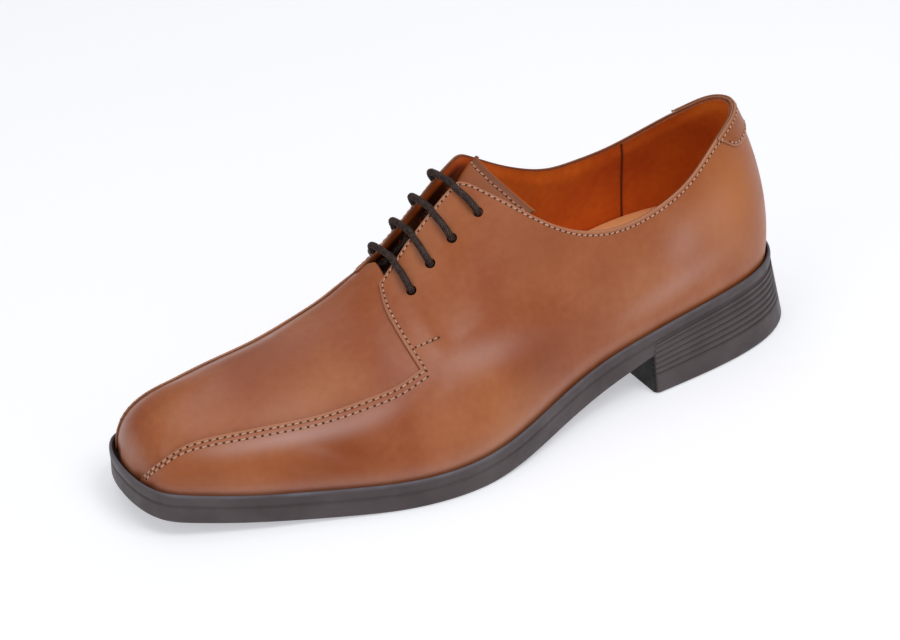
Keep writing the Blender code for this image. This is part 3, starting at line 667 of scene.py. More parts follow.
def side_normal(side, station, share):
    near = 0.0005
    station = np.clip(station, POLE_STATION, HEEL_STATION - POLE_STATION)
    share = np.minimum(share, POLE_SHARE)
    along = last_point(side, station + near, share) - last_point(side, station - near, share)
    upward = last_point(side, station, share + near) - last_point(side, station, share - near)
    return unit(np.cross(along, upward) * side)


def at_ends(station):
    """Whether a station is on the toe line or the heel line."""
    return (station < TINY) | (station > HEEL_STATION - TINY)


def last_normal(side, station, share):
    """Outward normal, shared by both sides on the ridge and on the toe and heel lines."""
    own = side_normal(side, station, share)
    both = unit(own + side_normal(-side, station, share))
    shared = (share > RIDGE_SHARE) | at_ends(station)
    return np.where(shared[..., None], both, own)


def shell_point(side, station, share, offset):
    """Point at a distance outside the last's surface; feet keep their height."""
    grids = (np.asarray(grid, float) for grid in (station, share, offset))
    station, share, offset = np.broadcast_arrays(*grids)
    normal = last_normal(side, station, share)
    flat = unit(normal * (1, 1, 0))
    normal = np.where((share < TINY)[..., None], flat, normal)
    own = last_point(side, station, share)
    shared = (own + last_point(-side, station, share)) / 2
    return np.where(at_ends(station)[..., None], shared, own) + normal * offset[..., None]


def rib_length(side, station):
    """Length of the section at a station from foot to ridge."""
    shares = np.linspace(0, 1, SECTION_SAMPLES)
    points = last_point(side, np.asarray(station, float)[..., None], shares)
    return np.linalg.norm(np.diff(points, axis=-2), axis=-1).sum(-1)


def solve_share(excess, shape):
    """Share at which a growing function of it passes zero, by halving."""
    low = np.zeros(shape)
    high = np.ones(shape)
    for _ in range(HALVINGS):
        middle = (low + high) / 2
        over = excess(middle) > 0
        high = np.where(over, middle, high)
        low = np.where(over, low, middle)
    return (low + high) / 2


def topline_share(side, station):
    """Share of the section at the slit and collar edge, with the corner between them rounded."""
    station = np.asarray(station, float)

    def above_collar(share):
        point = last_point(side, station, share)
        x = np.clip(point[..., 0], COLLAR[0, 0], COLLAR[-1, 0])
        return point[..., 2] - collar_height[side](x)

    def inside_slit(share):
        point = last_point(side, station, share)
        gap = np.interp(point[..., 0], SLIT[:, 0], SLIT[:, 1 if side > 0 else 2])
        return gap - side * (point[..., 1] - THROAT_Y)

    collar = solve_share(above_collar, station.shape)
    slit = solve_share(inside_slit, station.shape)
    slit = np.where(station > SLIT_END_STATION, 1.0, slit)
    blend = np.clip(0.5 + 0.5 * (slit - collar) / CORNER_BLEND, 0, 1)
    return slit * (1 - blend) + collar * blend - CORNER_BLEND * blend * (1 - blend)


def spots(table, side, station, share):
    """Sum of soft spots on one side, each row of the table placing one."""
    height = np.zeros(np.broadcast(station, share).shape)
    for where, at, up, length, width, turn, rise in table:
        if where != side:
            continue
        along = (station - at) * STATION_LENGTH
        across = (share - up) * rib_length(side, np.array(at))
        c = math.cos(math.radians(turn))
        s = math.sin(math.radians(turn))
        u = (along * c + across * s) / length
        v = (across * c - along * s) / width
        height += rise * np.exp(-u * u - v * v)
    return height


# Mesh helpers

EDGE_STEPS = np.array([0.0, 0.0015, 0.004, 0.009, 0.018])
COLUMN_EDGE_STEPS = EDGE_STEPS * 0.4
_stations = np.linspace(0, HEEL_STATION, 161)
_lengths = {side: rib_length(side, _stations) for side in SIDES}


def length_at(side, station):
    return np.interp(station, _stations, _lengths[side])


def toward_edge(count, steps=EDGE_STEPS):
    """Shares from 0 to 1, closely spaced before 1."""
    return np.concatenate([np.linspace(0, 1 - steps[-1], count, endpoint=False), 1 - steps[::-1]])


def rounding(distance):
    """How far a cut edge's rounding lowers the surface at a distance from the edge."""
    t = 1 - np.clip(distance / EDGE_ROUND, 0, 1)
    return EDGE_ROUND * (1 - np.sqrt(1 - t * t))


def grid_faces(rows, columns, flip=False):
    """Quads of a grid of points numbered row by row."""
    number = np.arange(rows * columns).reshape(rows, columns)
    corners = [number[:-1, :-1], number[:-1, 1:], number[1:, 1:], number[1:, :-1]]
    quads = np.stack(corners, -1).reshape(-1, 4)
    return quads[:, ::-1] if flip else quads


def add_object(name, data):
    """New object in the scene."""
    thing = bpy.data.objects.new(name, data)
    bpy.context.scene.collection.objects.link(thing)
    return thing


def new_piece(name, vertices, faces, materials, node=None, slot=None,
              face_slots=None, edge=None, crease=40.0):
    """Mesh object in the frame, riding on the part's body."""
    mesh = bpy.data.meshes.new(name)
    corners = [list(dict.fromkeys(face)) for face in faces.tolist()]
    mesh.from_pydata(place(vertices).tolist(), [], corners)
    for material in materials:
        mesh.materials.append(material)
    if face_slots is not None:
        mesh.polygons.foreach_set("material_index", face_slots.astype(np.int32))
    # The edge attribute holds wear and dye at cut edges, painted shade, painted highlights and the lace's
    # braid height
    if edge is not None:
        values = mesh.attributes.new("edge", "FLOAT", "POINT").data
        values.foreach_set("value", edge.astype(np.float32))
    mesh.shade_smooth()
    mesh.set_sharp_from_angle(angle=math.radians(crease))
    piece = add_object(name, mesh)
    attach(piece, "root")
    if node:
        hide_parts(node)
    return piece


def thick_piece(name, patches, materials, **options):
    """One closed sheet from grids of outer points, inner points and edge values, joined where they meet.

    The walls along its open edges take the second material.
    """
    outer, inner, edge, quads = [], [], [], []
    count = 0
    for patch_outer, patch_inner, patch_edge, flip in patches:
        quads.append(grid_faces(*patch_outer.shape[:2], flip) + count)
        outer.append(patch_outer.reshape(-1, 3))
        inner.append(patch_inner.reshape(-1, 3))
        edge.append(patch_edge.reshape(-1))
        count += len(outer[-1])
    outer, inner, edge, quads = (np.concatenate(parts) for parts in (outer, inner, edge, quads))
    _, first, index = np.unique(np.round(outer, 3), axis=0, return_index=True, return_inverse=True)
    outer, inner, edge = outer[first], inner[first], edge[first]
    quads = index.reshape(-1)[quads]
    quads = quads[[len(set(quad)) > 2 for quad in quads.tolist()]]
    sides = np.concatenate([np.stack([quads[:, k], quads[:, (k + 1) % 4]], 1) for k in range(4)])
    sides = sides[sides[:, 0] != sides[:, 1]]
    _, back, uses = np.unique(np.sort(sides, 1), axis=0, return_inverse=True, return_counts=True)
    open_sides = sides[uses[back.reshape(-1)] == 1]
    a, b = open_sides[:, 0], open_sides[:, 1]
    total = len(outer)
    walls = np.stack([b, a, a + total, b + total], 1)
    faces = np.concatenate([quads, quads[:, ::-1] + total, walls])
    face_slots = np.repeat([0, 0, 1], [len(quads), len(quads), len(walls)])
    points = np.concatenate([outer, inner])
    values = np.concatenate([edge, np.zeros(total)])
    return new_piece(name, points, faces, materials, face_slots=face_slots, edge=values, **options)


def loft(rings):
    """Closed solid through rings of equal count; the ends are closed by cross strips."""
    count = len(rings[0])
    around = np.arange(count)
    after = (around + 1) % count
    faces = []
    for j in range(len(rings) - 1):
        low, high = j * count, (j + 1) * count
        faces.append(np.stack([low + around, low + after, high + after, high + around], 1))
    half = np.arange(count // 2)
    strip = np.stack([half, half + 1, count - half - 1, (count - half) % count], 1)
    faces += [strip[:, ::-1], strip + (len(rings) - 1) * count]
    return np.concatenate(rings), np.concatenate(faces)


def punch(piece, centres, normals, radius):
    """Cuts round holes through a piece."""
    bm = bmesh.new()
    for centre, normal in zip(centres, normals):
        turn = Vector(normal).to_track_quat("Z", "Y").to_matrix().to_4x4()
        matrix = Matrix.Translation(Vector(place(centre))) @ turn
        bmesh.ops.create_cone(bm, cap_ends=True, segments=HOLE_SEGMENTS, radius1=radius * MM,
                              radius2=radius * MM, depth=PUNCH_DEPTH * MM, matrix=matrix)
    mesh = bpy.data.meshes.new("punch")
    bm.to_mesh(mesh)
    bm.free()
    tool = add_object("punch", mesh)
    modifier = piece.modifiers.new("punch", "BOOLEAN")
    modifier.operation = "DIFFERENCE"
    modifier.solver = "EXACT"
    modifier.object = tool
    depsgraph = bpy.context.evaluated_depsgraph_get()
    cut = bpy.data.meshes.new_from_object(piece.evaluated_get(depsgraph))
    piece.modifiers.clear()
    piece.data = cut
    bpy.data.objects.remove(tool, do_unlink=True)


# Materials

UPPER_DEEP = (0.305, 0.066, 0.011)
UPPER_TONE = (0.430, 0.140, 0.046)
# Pale tone of the painted highlights and how much of it is mixed in
HIGHLIGHT_TONE = (0.60, 0.40, 0.36)
HIGHLIGHT_MIX = 0.6
RAW_TONE = (0.56, 0.28, 0.165)
CUT_DEEP = (0.13, 0.045, 0.018)
CUT_TONE = (0.26, 0.095, 0.042)
# Heel tab tones: a darker copy of the upper's, as painted shade
TAB_DEEP = (0.26, 0.055, 0.008)
TAB_TONE = (0.35, 0.100, 0.026)
TONGUE_DEEP = (0.285, 0.072, 0.015)
TONGUE_TONE = (0.370, 0.112, 0.034)
# Dark tone of the tongue, for the band along its top edge and for painted shade deeper in the slit
TONGUE_SHADE = (0.020, 0.008, 0.004)
LINING_DEEP = (0.53, 0.068, 0.003)
LINING_TONE = (0.78, 0.165, 0.009)
LINING_SHADE = (0.040, 0.007, 0.003)
LINING_CUT_DEEP = (0.18, 0.035, 0.008)
LINING_CUT_TONE = (0.30, 0.07, 0.015)
SOCK_DEEP = (0.80, 0.36, 0.13)
SOCK_TONE = (0.90, 0.48, 0.20)
RUBBER_DEEP = (0.066, 0.050, 0.051)
RUBBER_TONE = (0.094, 0.074, 0.075)
RUBBER_DUST = (0.20, 0.18, 0.18)
# Pale tone of the painted highlight on the rim's top; dark tone of the painted shade
RUBBER_HIGHLIGHT = (0.145, 0.142, 0.165)
RUBBER_DARK = (0.010, 0.007, 0.006)
THREAD_TONE = (0.62, 0.36, 0.25)
THREAD_SHADE = 0.7
# Needle holes: dark beads of painted shade where the thread goes in
HOLE_DEEP = (0.090, 0.029, 0.012)
HOLE_TONE = (0.135, 0.048, 0.021)
CORD_DEEP = (0.070, 0.036, 0.027)
CORD_TONE = (0.25, 0.155, 0.120)
# Painted shade between the lace's strands
CORD_GAP = (0.010, 0.005, 0.004)


class Graph:
    """Short way to build the nodes of a material."""

    def __init__(self, name, sockets=None):
        self.material = bpy.data.materials.new(name)
        self.material.use_nodes = True
        self.tree = self.material.node_tree
        self.shader = self.tree.nodes["Principled BSDF"]
        for socket, value in (sockets or {}).items():
            self.set(socket, value)
        self.coords = self.node("ShaderNodeTexCoord").outputs["Object"]

    def set(self, socket, value):
        self._fill(self.shader.inputs[socket], value)

    def _fill(self, socket, value):
        if isinstance(value, bpy.types.NodeSocket):
            self.tree.links.new(value, socket)
        elif isinstance(value, tuple) and len(value) == 3 and socket.type == "RGBA":
            socket.default_value = (*value, 1.0)
        else:
            socket.default_value = value

    def node(self, kind, settings=None, **inputs):
        node = self.tree.nodes.new(kind)
        for key, value in (settings or {}).items():
            setattr(node, key, value)
        for key, value in inputs.items():
            self._fill(node.inputs[key], value)
        return node

    def noise(self, scale, detail=2.0, roughness=0.5, stretch=None):
        vector = self.coords
        if stretch:
            vector = self.node("ShaderNodeMapping", Vector=vector, Scale=stretch).outputs[0]
        return self.node("ShaderNodeTexNoise", Vector=vector, Scale=scale, Detail=detail,
                         Roughness=roughness).outputs["Fac"]

    def cells(self, scale):
        return self.node("ShaderNodeTexVoronoi", Vector=self.coords, Scale=scale).outputs["Distance"]

    def attribute(self, name):
        return self.node("ShaderNodeAttribute", {"attribute_name": name}).outputs["Fac"]

    def _feed(self, node, *values):
        """Fills a node's first inputs in order."""
        for socket, value in zip(node.inputs, values):
            self._fill(socket, value)
        return node

    def span(self, value, low, high, to_low=0.0, to_high=1.0, way="LINEAR"):
        node = self.node("ShaderNodeMapRange", {"interpolation_type": way})
        return self._feed(node, value, low, high, to_low, to_high).outputs[0]

    def near(self, point, radius, strength):
        """Strength at a point, fading smoothly to nothing at a radius."""
        gap = self.node("ShaderNodeVectorMath", {"operation": "DISTANCE"})
        distance = self._feed(gap, self.coords, point).outputs["Value"]
        return self.span(distance, 0.0, radius, strength, 0.0, "SMOOTHSTEP")

    def math(self, operation, a, b):
        return self._feed(self.node("ShaderNodeMath", {"operation": operation}), a, b).outputs[0]

    def mix(self, factor, a, b):
        node = self.node("ShaderNodeMix", {"data_type": "RGBA"})
        for socket, value in ((0, factor), (6, a), (7, b)):
            self._fill(node.inputs[socket], value)
        return node.outputs[2]

    def bump(self, *layers):
        """Chain of bump nodes from (height, strength, distance in millimetres)."""
        normal = None
        for height, strength, distance in layers:
            node = self.node("ShaderNodeBump", Height=height, Strength=strength, Distance=distance * MM)
            if normal:
                self.tree.links.new(normal, node.inputs["Normal"])
            normal = node.outputs[0]
        self.set("Normal", normal)


def leather(name, deep, tone, raw_and_shade_tone, roughness=0.4, coat=0.09, wear_and_shade_mix=0.45, tints=()):
    """Smooth polished leather with soft patches of colour.

    The edge attribute mixes in the given edge tone up to 1, for worn and dyed edges and for painted
    shade, and below 0 it mixes in a painted highlight.
    """
    g = Graph(name, {"Specular IOR Level": 0.38, "Coat Weight": coat, "Coat Roughness": 0.3})
    patches = g.noise(26.0, 1.5)
    mottle = g.noise(300.0, 3.0)
    blend = g.math("ADD", g.math("MULTIPLY", patches, 0.8), g.math("MULTIPLY", mottle, 0.2))
    colour = g.mix(g.span(blend, 0.34, 0.66), deep, tone)
    # Darker and warmer spots; the darker ones are partly the leather's own colour and partly painted
    # shade in creases
    for side, station, share, radius, strength, tint in tints:
        centre = place(last_point(side, station, share))
        colour = g.mix(g.near(centre, radius * MM, strength), colour, tint)
    mark = g.attribute("edge")
    # Painted highlight where the edge attribute is below 0
    colour = g.mix(g.span(mark, 0.0, -1.0, 0.0, HIGHLIGHT_MIX), colour, HIGHLIGHT_TONE)
    # Worn and dyed edges, and painted shade, where the edge attribute is above 0
    g.set("Base Color", g.mix(g.span(mark, 0.0, 1.0, 0.0, wear_and_shade_mix), colour, raw_and_shade_tone))
    g.set("Roughness", g.span(g.noise(55.0, 2.0), 0.3, 0.7, roughness - 0.06, roughness + 0.08))
    pores = g.cells(1500.0)
    grain = g.noise(1100.0, 3.0)
    dents = g.noise(130.0, 2.0)
    g.bump((pores, 0.12, 0.08), (grain, 0.1, 0.1), (dents, 0.2, 0.35))
    return g.material


def raw_edge(name, deep, tone):
    """Cut edge of leather: matt fibres."""
    g = Graph(name)
    g.set("Base Color", g.mix(g.span(g.noise(700.0, 3.0), 0.3, 0.7), deep, tone))
    g.set("Roughness", 0.75)
    g.bump((g.noise(1800.0, 3.0), 0.3, 0.15))
    return g.material


def rubber(name):
    """Moulded sole rubber with specks of dust.

    The edge attribute is 1 for painted shade in the gap under the upper and on the heel's front, and
    below 0 for a painted highlight along the rim's top.
    """
    g = Graph(name, {"Specular IOR Level": 0.3})
    cloud = g.noise(45.0, 3.0)
    dust = g.noise(900.0, 4.0, 0.65)
    colour = g.mix(g.span(cloud, 0.35, 0.65), RUBBER_DEEP, RUBBER_TONE)
    colour = g.mix(g.span(dust, 0.62, 0.78, 0.0, 0.25), colour, RUBBER_DUST)
    mark = g.attribute("edge")
    uneven = g.span(g.noise(70.0, 2.0), 0.35, 0.65, 0.2, 0.8)
    # Painted highlight along the rim's top, uneven
    painted_highlight = g.math("MULTIPLY", g.span(mark, 0.0, -1.0), uneven)
    colour = g.mix(painted_highlight, colour, RUBBER_HIGHLIGHT)
    # Painted shade where the edge attribute is 1
    g.set("Base Color", g.mix(g.span(mark, 0.0, 1.0), colour, RUBBER_DARK))
    g.set("Roughness", g.span(g.noise(160.0, 2.0), 0.3, 0.7, 0.42, 0.6))
    g.bump((dust, 0.15, 0.12), (g.noise(220.0, 2.0), 0.15, 0.2))
    return g.material


def thread(name):
    g = Graph(name, {"Sheen Weight": 0.2})
    shade = tuple(THREAD_SHADE * part for part in THREAD_TONE)
    g.set("Base Color", g.mix(g.span(g.noise(600.0, 2.0), 0.35, 0.65), THREAD_TONE, shade))
    g.set("Roughness", 0.65)
    g.bump((g.noise(2600.0, 2.0, stretch=(1.0, 1.0, 0.4)), 0.5, 0.1))
    return g.material


def cord(name):
    """Braided cord, with painted shade between its strands. The edge attribute is the braid's height."""
    g = Graph(name, {"Specular IOR Level": 0.25})
    height = g.attribute("edge")
    yarn = g.mix(g.span(g.noise(700.0, 2.0), 0.35, 0.65), CORD_DEEP, CORD_TONE)
    g.set("Base Color", g.mix(g.span(height, 0.5, 1.0), CORD_GAP, yarn))
    g.set("Roughness", 0.6)
    g.bump((g.noise(2400.0, 2.0), 0.4, 0.1))
    return g.material


# Dark beads standing in for the shade inside needle holes
def dark_hole(name):
    g = Graph(name, {"Specular IOR Level": 0.0})
    g.set("Base Color", g.mix(g.noise(900.0), HOLE_DEEP, HOLE_TONE))
    g.set("Roughness", 0.9)
    return g.material


UPPER = leather("upper_leather", UPPER_DEEP, UPPER_TONE, RAW_TONE, tints=TINTS)
UPPER_EDGE = raw_edge("upper_cut_edge", CUT_DEEP, CUT_TONE)
TONGUE_LEATHER = leather("tongue_leather", TONGUE_DEEP, TONGUE_TONE, TONGUE_SHADE, 0.5, 0.0, 1.0)
LINING = leather("lining_leather", LINING_DEEP, LINING_TONE, LINING_SHADE, 0.55, 0.0, 0.95)
LINING_EDGE = raw_edge("lining_cut_edge", LINING_CUT_DEEP, LINING_CUT_TONE)
SOCK = leather("insole_leather", SOCK_DEEP, SOCK_TONE, RAW_TONE, 0.55, 0.0)
# Heel tab leather, the upper's leather darkened as painted shade
TAB_LEATHER = leather("tab_leather", TAB_DEEP, TAB_TONE, RAW_TONE)
SOLE = rubber("sole_rubber")
THREAD = thread("stitch_thread")
HOLE = dark_hole("needle_hole")
CORD = cord("lace_cord")


# Upper

FRONT_COLUMNS = 120
QUARTER_COLUMNS = 190
LOWER_ROWS = 36
UPPER_ROWS = 56


def patch(side, station, share, outer, inner, mark, facing=1):
    """Grids of one side of a sheet: points at two distances from the last, marks, and winding."""
    points = [shell_point(side, station, share, offset) for offset in (outer, inner)]
    return (*points, mark, side * facing < 0)


def quarter_shares():
    """Shares along the quarter from the facing edge to the heel, closely spaced at the edge."""
    return 1 - toward_edge(QUARTER_COLUMNS, COLUMN_EDGE_STEPS)[::-1]


def panel_parts(side):
    """Two grids of a side panel: below the seam, and behind the facing's front edge above it.

    Each is station, share, distance to any cut edge and distance to the edge that lies on the plug.
    """
    corner_share, corner_station = FACING_EDGE[side][0]
    front = np.linspace(SEAM[side][0, 0], corner_station, FRONT_COLUMNS, endpoint=False)
    quarter = corner_station + (HEEL_STATION - corner_station) * quarter_shares()
    station = np.concatenate([front, quarter])[None, :]
    part = toward_edge(LOWER_ROWS)[:, None]
    share = seam_share[side](station) * part
    under = (1 - part) * seam_share[side](station) * length_at(side, station)
    behind = np.maximum(station - corner_station, 0) * STATION_LENGTH
    over_plug = np.hypot(under, behind)
    lower = np.broadcast_to(station, share.shape), share, over_plug, over_plug

    part = toward_edge(UPPER_ROWS)[:, None]
    crown = float(topline_share(side, THROAT_STATION))
    guess = corner_share + part * (crown - corner_share)
    edge_station = facing_station[side](guess)
    station = edge_station + (HEEL_STATION - edge_station) * quarter_shares()[None, :]
    low = seam_share[side](station)
    high = topline_share(side, np.maximum(station, THROAT_STATION))
    share = low + part * (high - low)
    over_plug = (station - edge_station) * STATION_LENGTH
    distance = np.minimum(over_plug, (high - share) * length_at(side, station))
    return lower, (station, share, distance, over_plug)


def make_panel(side):
    """Side panel with its lace facing, from the seam over the plug back to the heel."""
    patches = []
    for station, share, distance, over_plug in panel_parts(side):
        trough = OVERLAP_TROUGH * np.exp(-((over_plug - OVERLAP_WIDTH) / OVERLAP_FADE) ** 2)
        offset = STEP - rounding(distance) - trough + spots(RELIEF, side, station, share)
        back = np.minimum(PANEL_BACK, offset - PANEL_LEAST)
        # Edge wear at the cut edges, less the painted highlights
        mark = np.exp(-(distance / EDGE_WEAR) ** 2) - spots(PAINTED_HIGHLIGHTS, side, station, share)
        patches.append(patch(side, station, share, offset, back, mark))
    name = "panel_" + SIDE_NAME[side]
    return thick_piece(name, patches, [UPPER, UPPER_EDGE], node="upper", slot="upper")


def make_plug():
    """Toe plug and vamp, tucked under the side panels and facings."""
    patches = []
    rows, columns = PLUG_GRID
    station = PLUG_END_STATION * np.linspace(0, 1, columns)[None, :]
    part = np.linspace(0, 1, rows)[:, None]
    for side in SIDES:
        low = np.maximum(seam_share[side](station) - PLUG_UNDERLAP / length_at(side, station), 0)
        low = np.where(station < SEAM[side][0, 0], 0, low)
        share = low + (1 - low) * part
        toe = (1 - ease(station, *TOE_FILL_STATIONS)) * (1 - ease(share, *TOE_FILL_SHARES))
        offset = spots(RELIEF, side, station, share) * (share < RELIEF_END_SHARE)
        offset = TOE_FILL * STEP * toe + offset
        # Painted highlights on the plug
        mark = -spots(PAINTED_HIGHLIGHTS, side, station, share)
        patches.append(patch(side, station, share, offset, offset - PLUG_THICK, mark))
    thick_piece("plug", patches, [UPPER, UPPER_EDGE], node="upper", slot="upper")


def make_lining():
    """Lining of quarters and heel, in one sheet round the back, with a seam on each side."""
    patches = []
    seam_at = (LINING_SEAM_STATION - FACING_CORNER_STATION) / (HEEL_STATION - FACING_CORNER_STATION)
    seam_columns = seam_at + LINING_SEAM_HALF * np.array([-4, -2, -1, 0, 1, 2])
    columns = np.sort(np.concatenate([np.linspace(0.006, 1, 130), seam_columns]))[None, :]
    part = toward_edge(40)[:, None]
    for side in SIDES:
        crown = float(topline_share(side, THROAT_STATION))
        corner = FACING_EDGE[side][0, 0]
        edge_station = facing_station[side](corner + part * (crown - corner))
        station = edge_station + (HEEL_STATION - edge_station) * columns
        high = topline_share(side, np.maximum(station, THROAT_STATION))
        high = high - LINING_INSET / length_at(side, station)
        share = high * part
        distance = (high - share) * length_at(side, station)
        behind = ease(columns, seam_at - LINING_SEAM_HALF, seam_at + LINING_SEAM_HALF)
        groove = np.exp(-((columns - seam_at) / LINING_GROOVE_HALF) ** 2)
        skived = LINING_EDGE_SHARE + (1 - LINING_EDGE_SHARE) * ease(distance, 0.0, LINING_SKIVE)
        offset = -WALL * skived - LINING_SEAM_STEP * behind + LINING_GROOVE_DEPTH * groove
        # Painted shade inside the slit and towards the heel, and darker along the seam's groove
        shade = ease(distance, *SLIT_SHADE) * (1 - ease(station, *SLIT_SHADE_STATIONS))
        shade += HEEL_SHADE * ease(station, *HEEL_SHADE_STATIONS)
        mark = np.maximum(groove, shade)
        patches.append(patch(side, station, share, offset, -LINING_GAP, mark, facing=-1))
    return thick_piece("lining", patches, [LINING, LINING_EDGE], node="upper")


def make_vamp_lining():
    """Lining under the toe plug and the front of the side panels."""
    patches = []
    rows, columns = VAMP_LINING_GRID
    station = PLUG_END_STATION * np.linspace(0, 1, columns)[None, :]
    share = np.linspace(0, 1, rows)[:, None]
    under_plug, inside = VAMP_LINING_GAPS
    for side in SIDES:
        patches.append(patch(side, station, share, -WALL + inside, -PLUG_THICK - under_plug,
                             np.zeros(VAMP_LINING_GRID), facing=-1))
    thick_piece("vamp_lining", patches, [LINING, LINING_EDGE], node="upper")


def hole_places(side):
    """Stations and shares of one side's lace holes."""
    return np.array(HOLES).T[:2] if side > 0 else np.array(HOLES).T[2:4]


def hole_frames(side):
    """Centres and outward normals of one side's lace holes."""
    station, share = hole_places(side)
    return last_point(side, station, share), last_normal(side, station, share)


def make_heel_tab():
    """Patch over the top of the back seam."""
    patches = []
    station = np.linspace(TAB_EDGE[0, 0], HEEL_STATION, 60)[None, :]
    steps = np.concatenate([EDGE_STEPS * 4, np.linspace(0.1, 0.93, 24), 1 - EDGE_STEPS[::-1] * 4])
    for side in SIDES:
        low = tab_share(station)
        high = topline_share(side, station)
        share = low + steps[:, None] * (high - low)
        length = length_at(side, station)
        ends = (station - TAB_EDGE[0, 0]) * STATION_LENGTH
        distance = np.minimum(np.minimum((share - low) * length, (high - share) * length), ends)
        offset = STEP + TAB_THICK - rounding(distance)
        mark = np.exp(-(distance / TAB_EDGE_WEAR) ** 2)
        patches.append(patch(side, station, share, offset, STEP - TAB_SUNK, mark))
    thick_piece("heel_tab", patches, [TAB_LEATHER, UPPER_EDGE], node="heel_tab", slot="heel_tab")


# Tongue

TONGUE_SHAPE = smooth(TONGUE[:, 0], TONGUE)


def tongue_section(station, across):
    """Points across the tongue, lateral to medial, hung under the inside of the upper."""
    _, lateral, medial, lateral_depth, medial_depth, middle_depth, skew = TONGUE_SHAPE(station)
    ends = []
    for side, share, depth in ((LATERAL, lateral, lateral_depth), (MEDIAL, medial, medial_depth)):
        ends.append(shell_point(side, station + side * skew, share, -depth))
    ridge = last_point(LATERAL, station, 1.0)
    between = (ends[0] + ends[1]) / 2
    middle = np.array([ridge[0], (ridge[1] + between[1]) / 2, ridge[2] - middle_depth])
    handle = 2 * middle - between
    t = across[:, None]
    return (1 - t) ** 2 * ends[0] + 2 * t * (1 - t) * handle + t ** 2 * ends[1]


def tongue_surface(shares, across):
    """Grid of points along and across the tongue with their upward normals."""
    first, end = TONGUE[0, 0], TONGUE[-1, 0]
    grid = np.array([tongue_section(first + (end - first) * share, across) for share in shares])
    lengthwise = np.gradient(grid, axis=0)
    sideways = np.gradient(grid, axis=1)
    normal = unit(np.cross(lengthwise, sideways))
    return grid, normal * np.sign(normal[..., 2:3].mean())


def make_tongue():
    """Tongue, with painted shade towards the slit's end, and its lining underneath."""
    across = np.concatenate([EDGE_STEPS, np.linspace(0.04, 0.96, 44), 1 - EDGE_STEPS[::-1]])
    shares = toward_edge(60, EDGE_STEPS / 2)
    grid, normal = tongue_surface(shares, across)
    to_top = np.linalg.norm(grid - grid[-1:], axis=-1)
    to_side = np.minimum(across, 1 - across)[None, :] * TONGUE_WIDTH
    drop = rounding(np.minimum(to_top, to_side))[..., None]
    dark = TONGUE_EDGE_SHADE * (1 - ease(to_top, TONGUE_ROW_INSET - 1.0, TONGUE_ROW_INSET))
    # Painted shade deeper in the slit, farther from the tongue's top
    dark = np.maximum(dark, ease(to_top, *TONGUE_DARK))
    leather_back = TONGUE_THICK - TONGUE_LINING_THICK
    top = grid - drop * normal
    bottom = grid - leather_back * normal
    thick_piece("tongue", [(top, bottom, dark, True)], [TONGUE_LEATHER, TONGUE_LEATHER],
                node="tongue", slot="tongue")
    reach = 1 + TONGUE_LINING_REACH / np.linalg.norm(grid[-1] - grid[0], axis=-1).mean()
    grid, normal = tongue_surface(shares * reach, across)
    upper = grid - (leather_back + TONGUE_LINING_GAP) * normal
    lower = grid - TONGUE_THICK * normal
    thick_piece("tongue_lining", [(upper, lower, dark * 0, True)], [LINING, LINING_EDGE], node="tongue")


# Insole and sole

LOOP_STATIONS = np.linspace(0, HEEL_STATION, 261)
LOOP_HALVES = {LATERAL: LOOP_STATIONS[::-1], MEDIAL: LOOP_STATIONS[1:-1]}


def ring(inset, height):
    """Closed loop of points round the sole; height is a function of plan x."""
    loop = []
    for side, station in LOOP_HALVES.items():
        plan, _ = edge_point(CURVES[side]["step"](station), inset)
        loop.append(np.column_stack([plan, height(plan[:, 0])]))
    return np.concatenate(loop)


def insole_height(x):
    """Height of the insole's top: thin in front, a raised pad under the heel."""
    pad = HEEL_PAD * ease(-x, -HEEL_PAD_FRONT_X, -HEEL_PAD_BACK_X)
    return seat_height(x) + CLEAR + INSOLE_THICK + pad


def wall_ring(gap, drop):
    """Closed loop inside the upper's wall, a gap away from it and a drop below the insole's top."""
    loop = []
    for side, station in LOOP_HALVES.items():
        def above_level(share):
            point = last_point(side, station, share)
            return point[..., 2] - insole_height(point[..., 0]) + drop

        share = solve_share(above_level, station.shape)
        plan = shell_point(side, station, share, -WALL - gap)[:, :2]
        loop.append(np.column_stack([plan, insole_height(plan[:, 0]) - drop]))
    return np.concatenate(loop)


def make_insole():
    rings = [ring(FOOT_INSET + WALL + CLEAR, lambda x: seat_height(x) + CLEAR)]
    rings += [wall_ring(CLEAR + gap, drop) for gap, drop in INSOLE_EDGE]
    points, faces = loft(rings)
    new_piece("insole", points, faces, [SOCK], node="insole", slot="insole")


def underside(x):
    """Height of the sole's underside: waist arch, flat tread and toe spring."""
    waist = np.clip((FLAT_START_X - x) / (FLAT_START_X - HEEL_BREAST_X), 0, 1)
    toe = np.clip((x - FLAT_END_X) / (LENGTH - FLAT_END_X), 0, 1)
    return WAIST_RISE * waist ** WAIST_POWER + TOE_SPRING * toe ** TOE_POWER


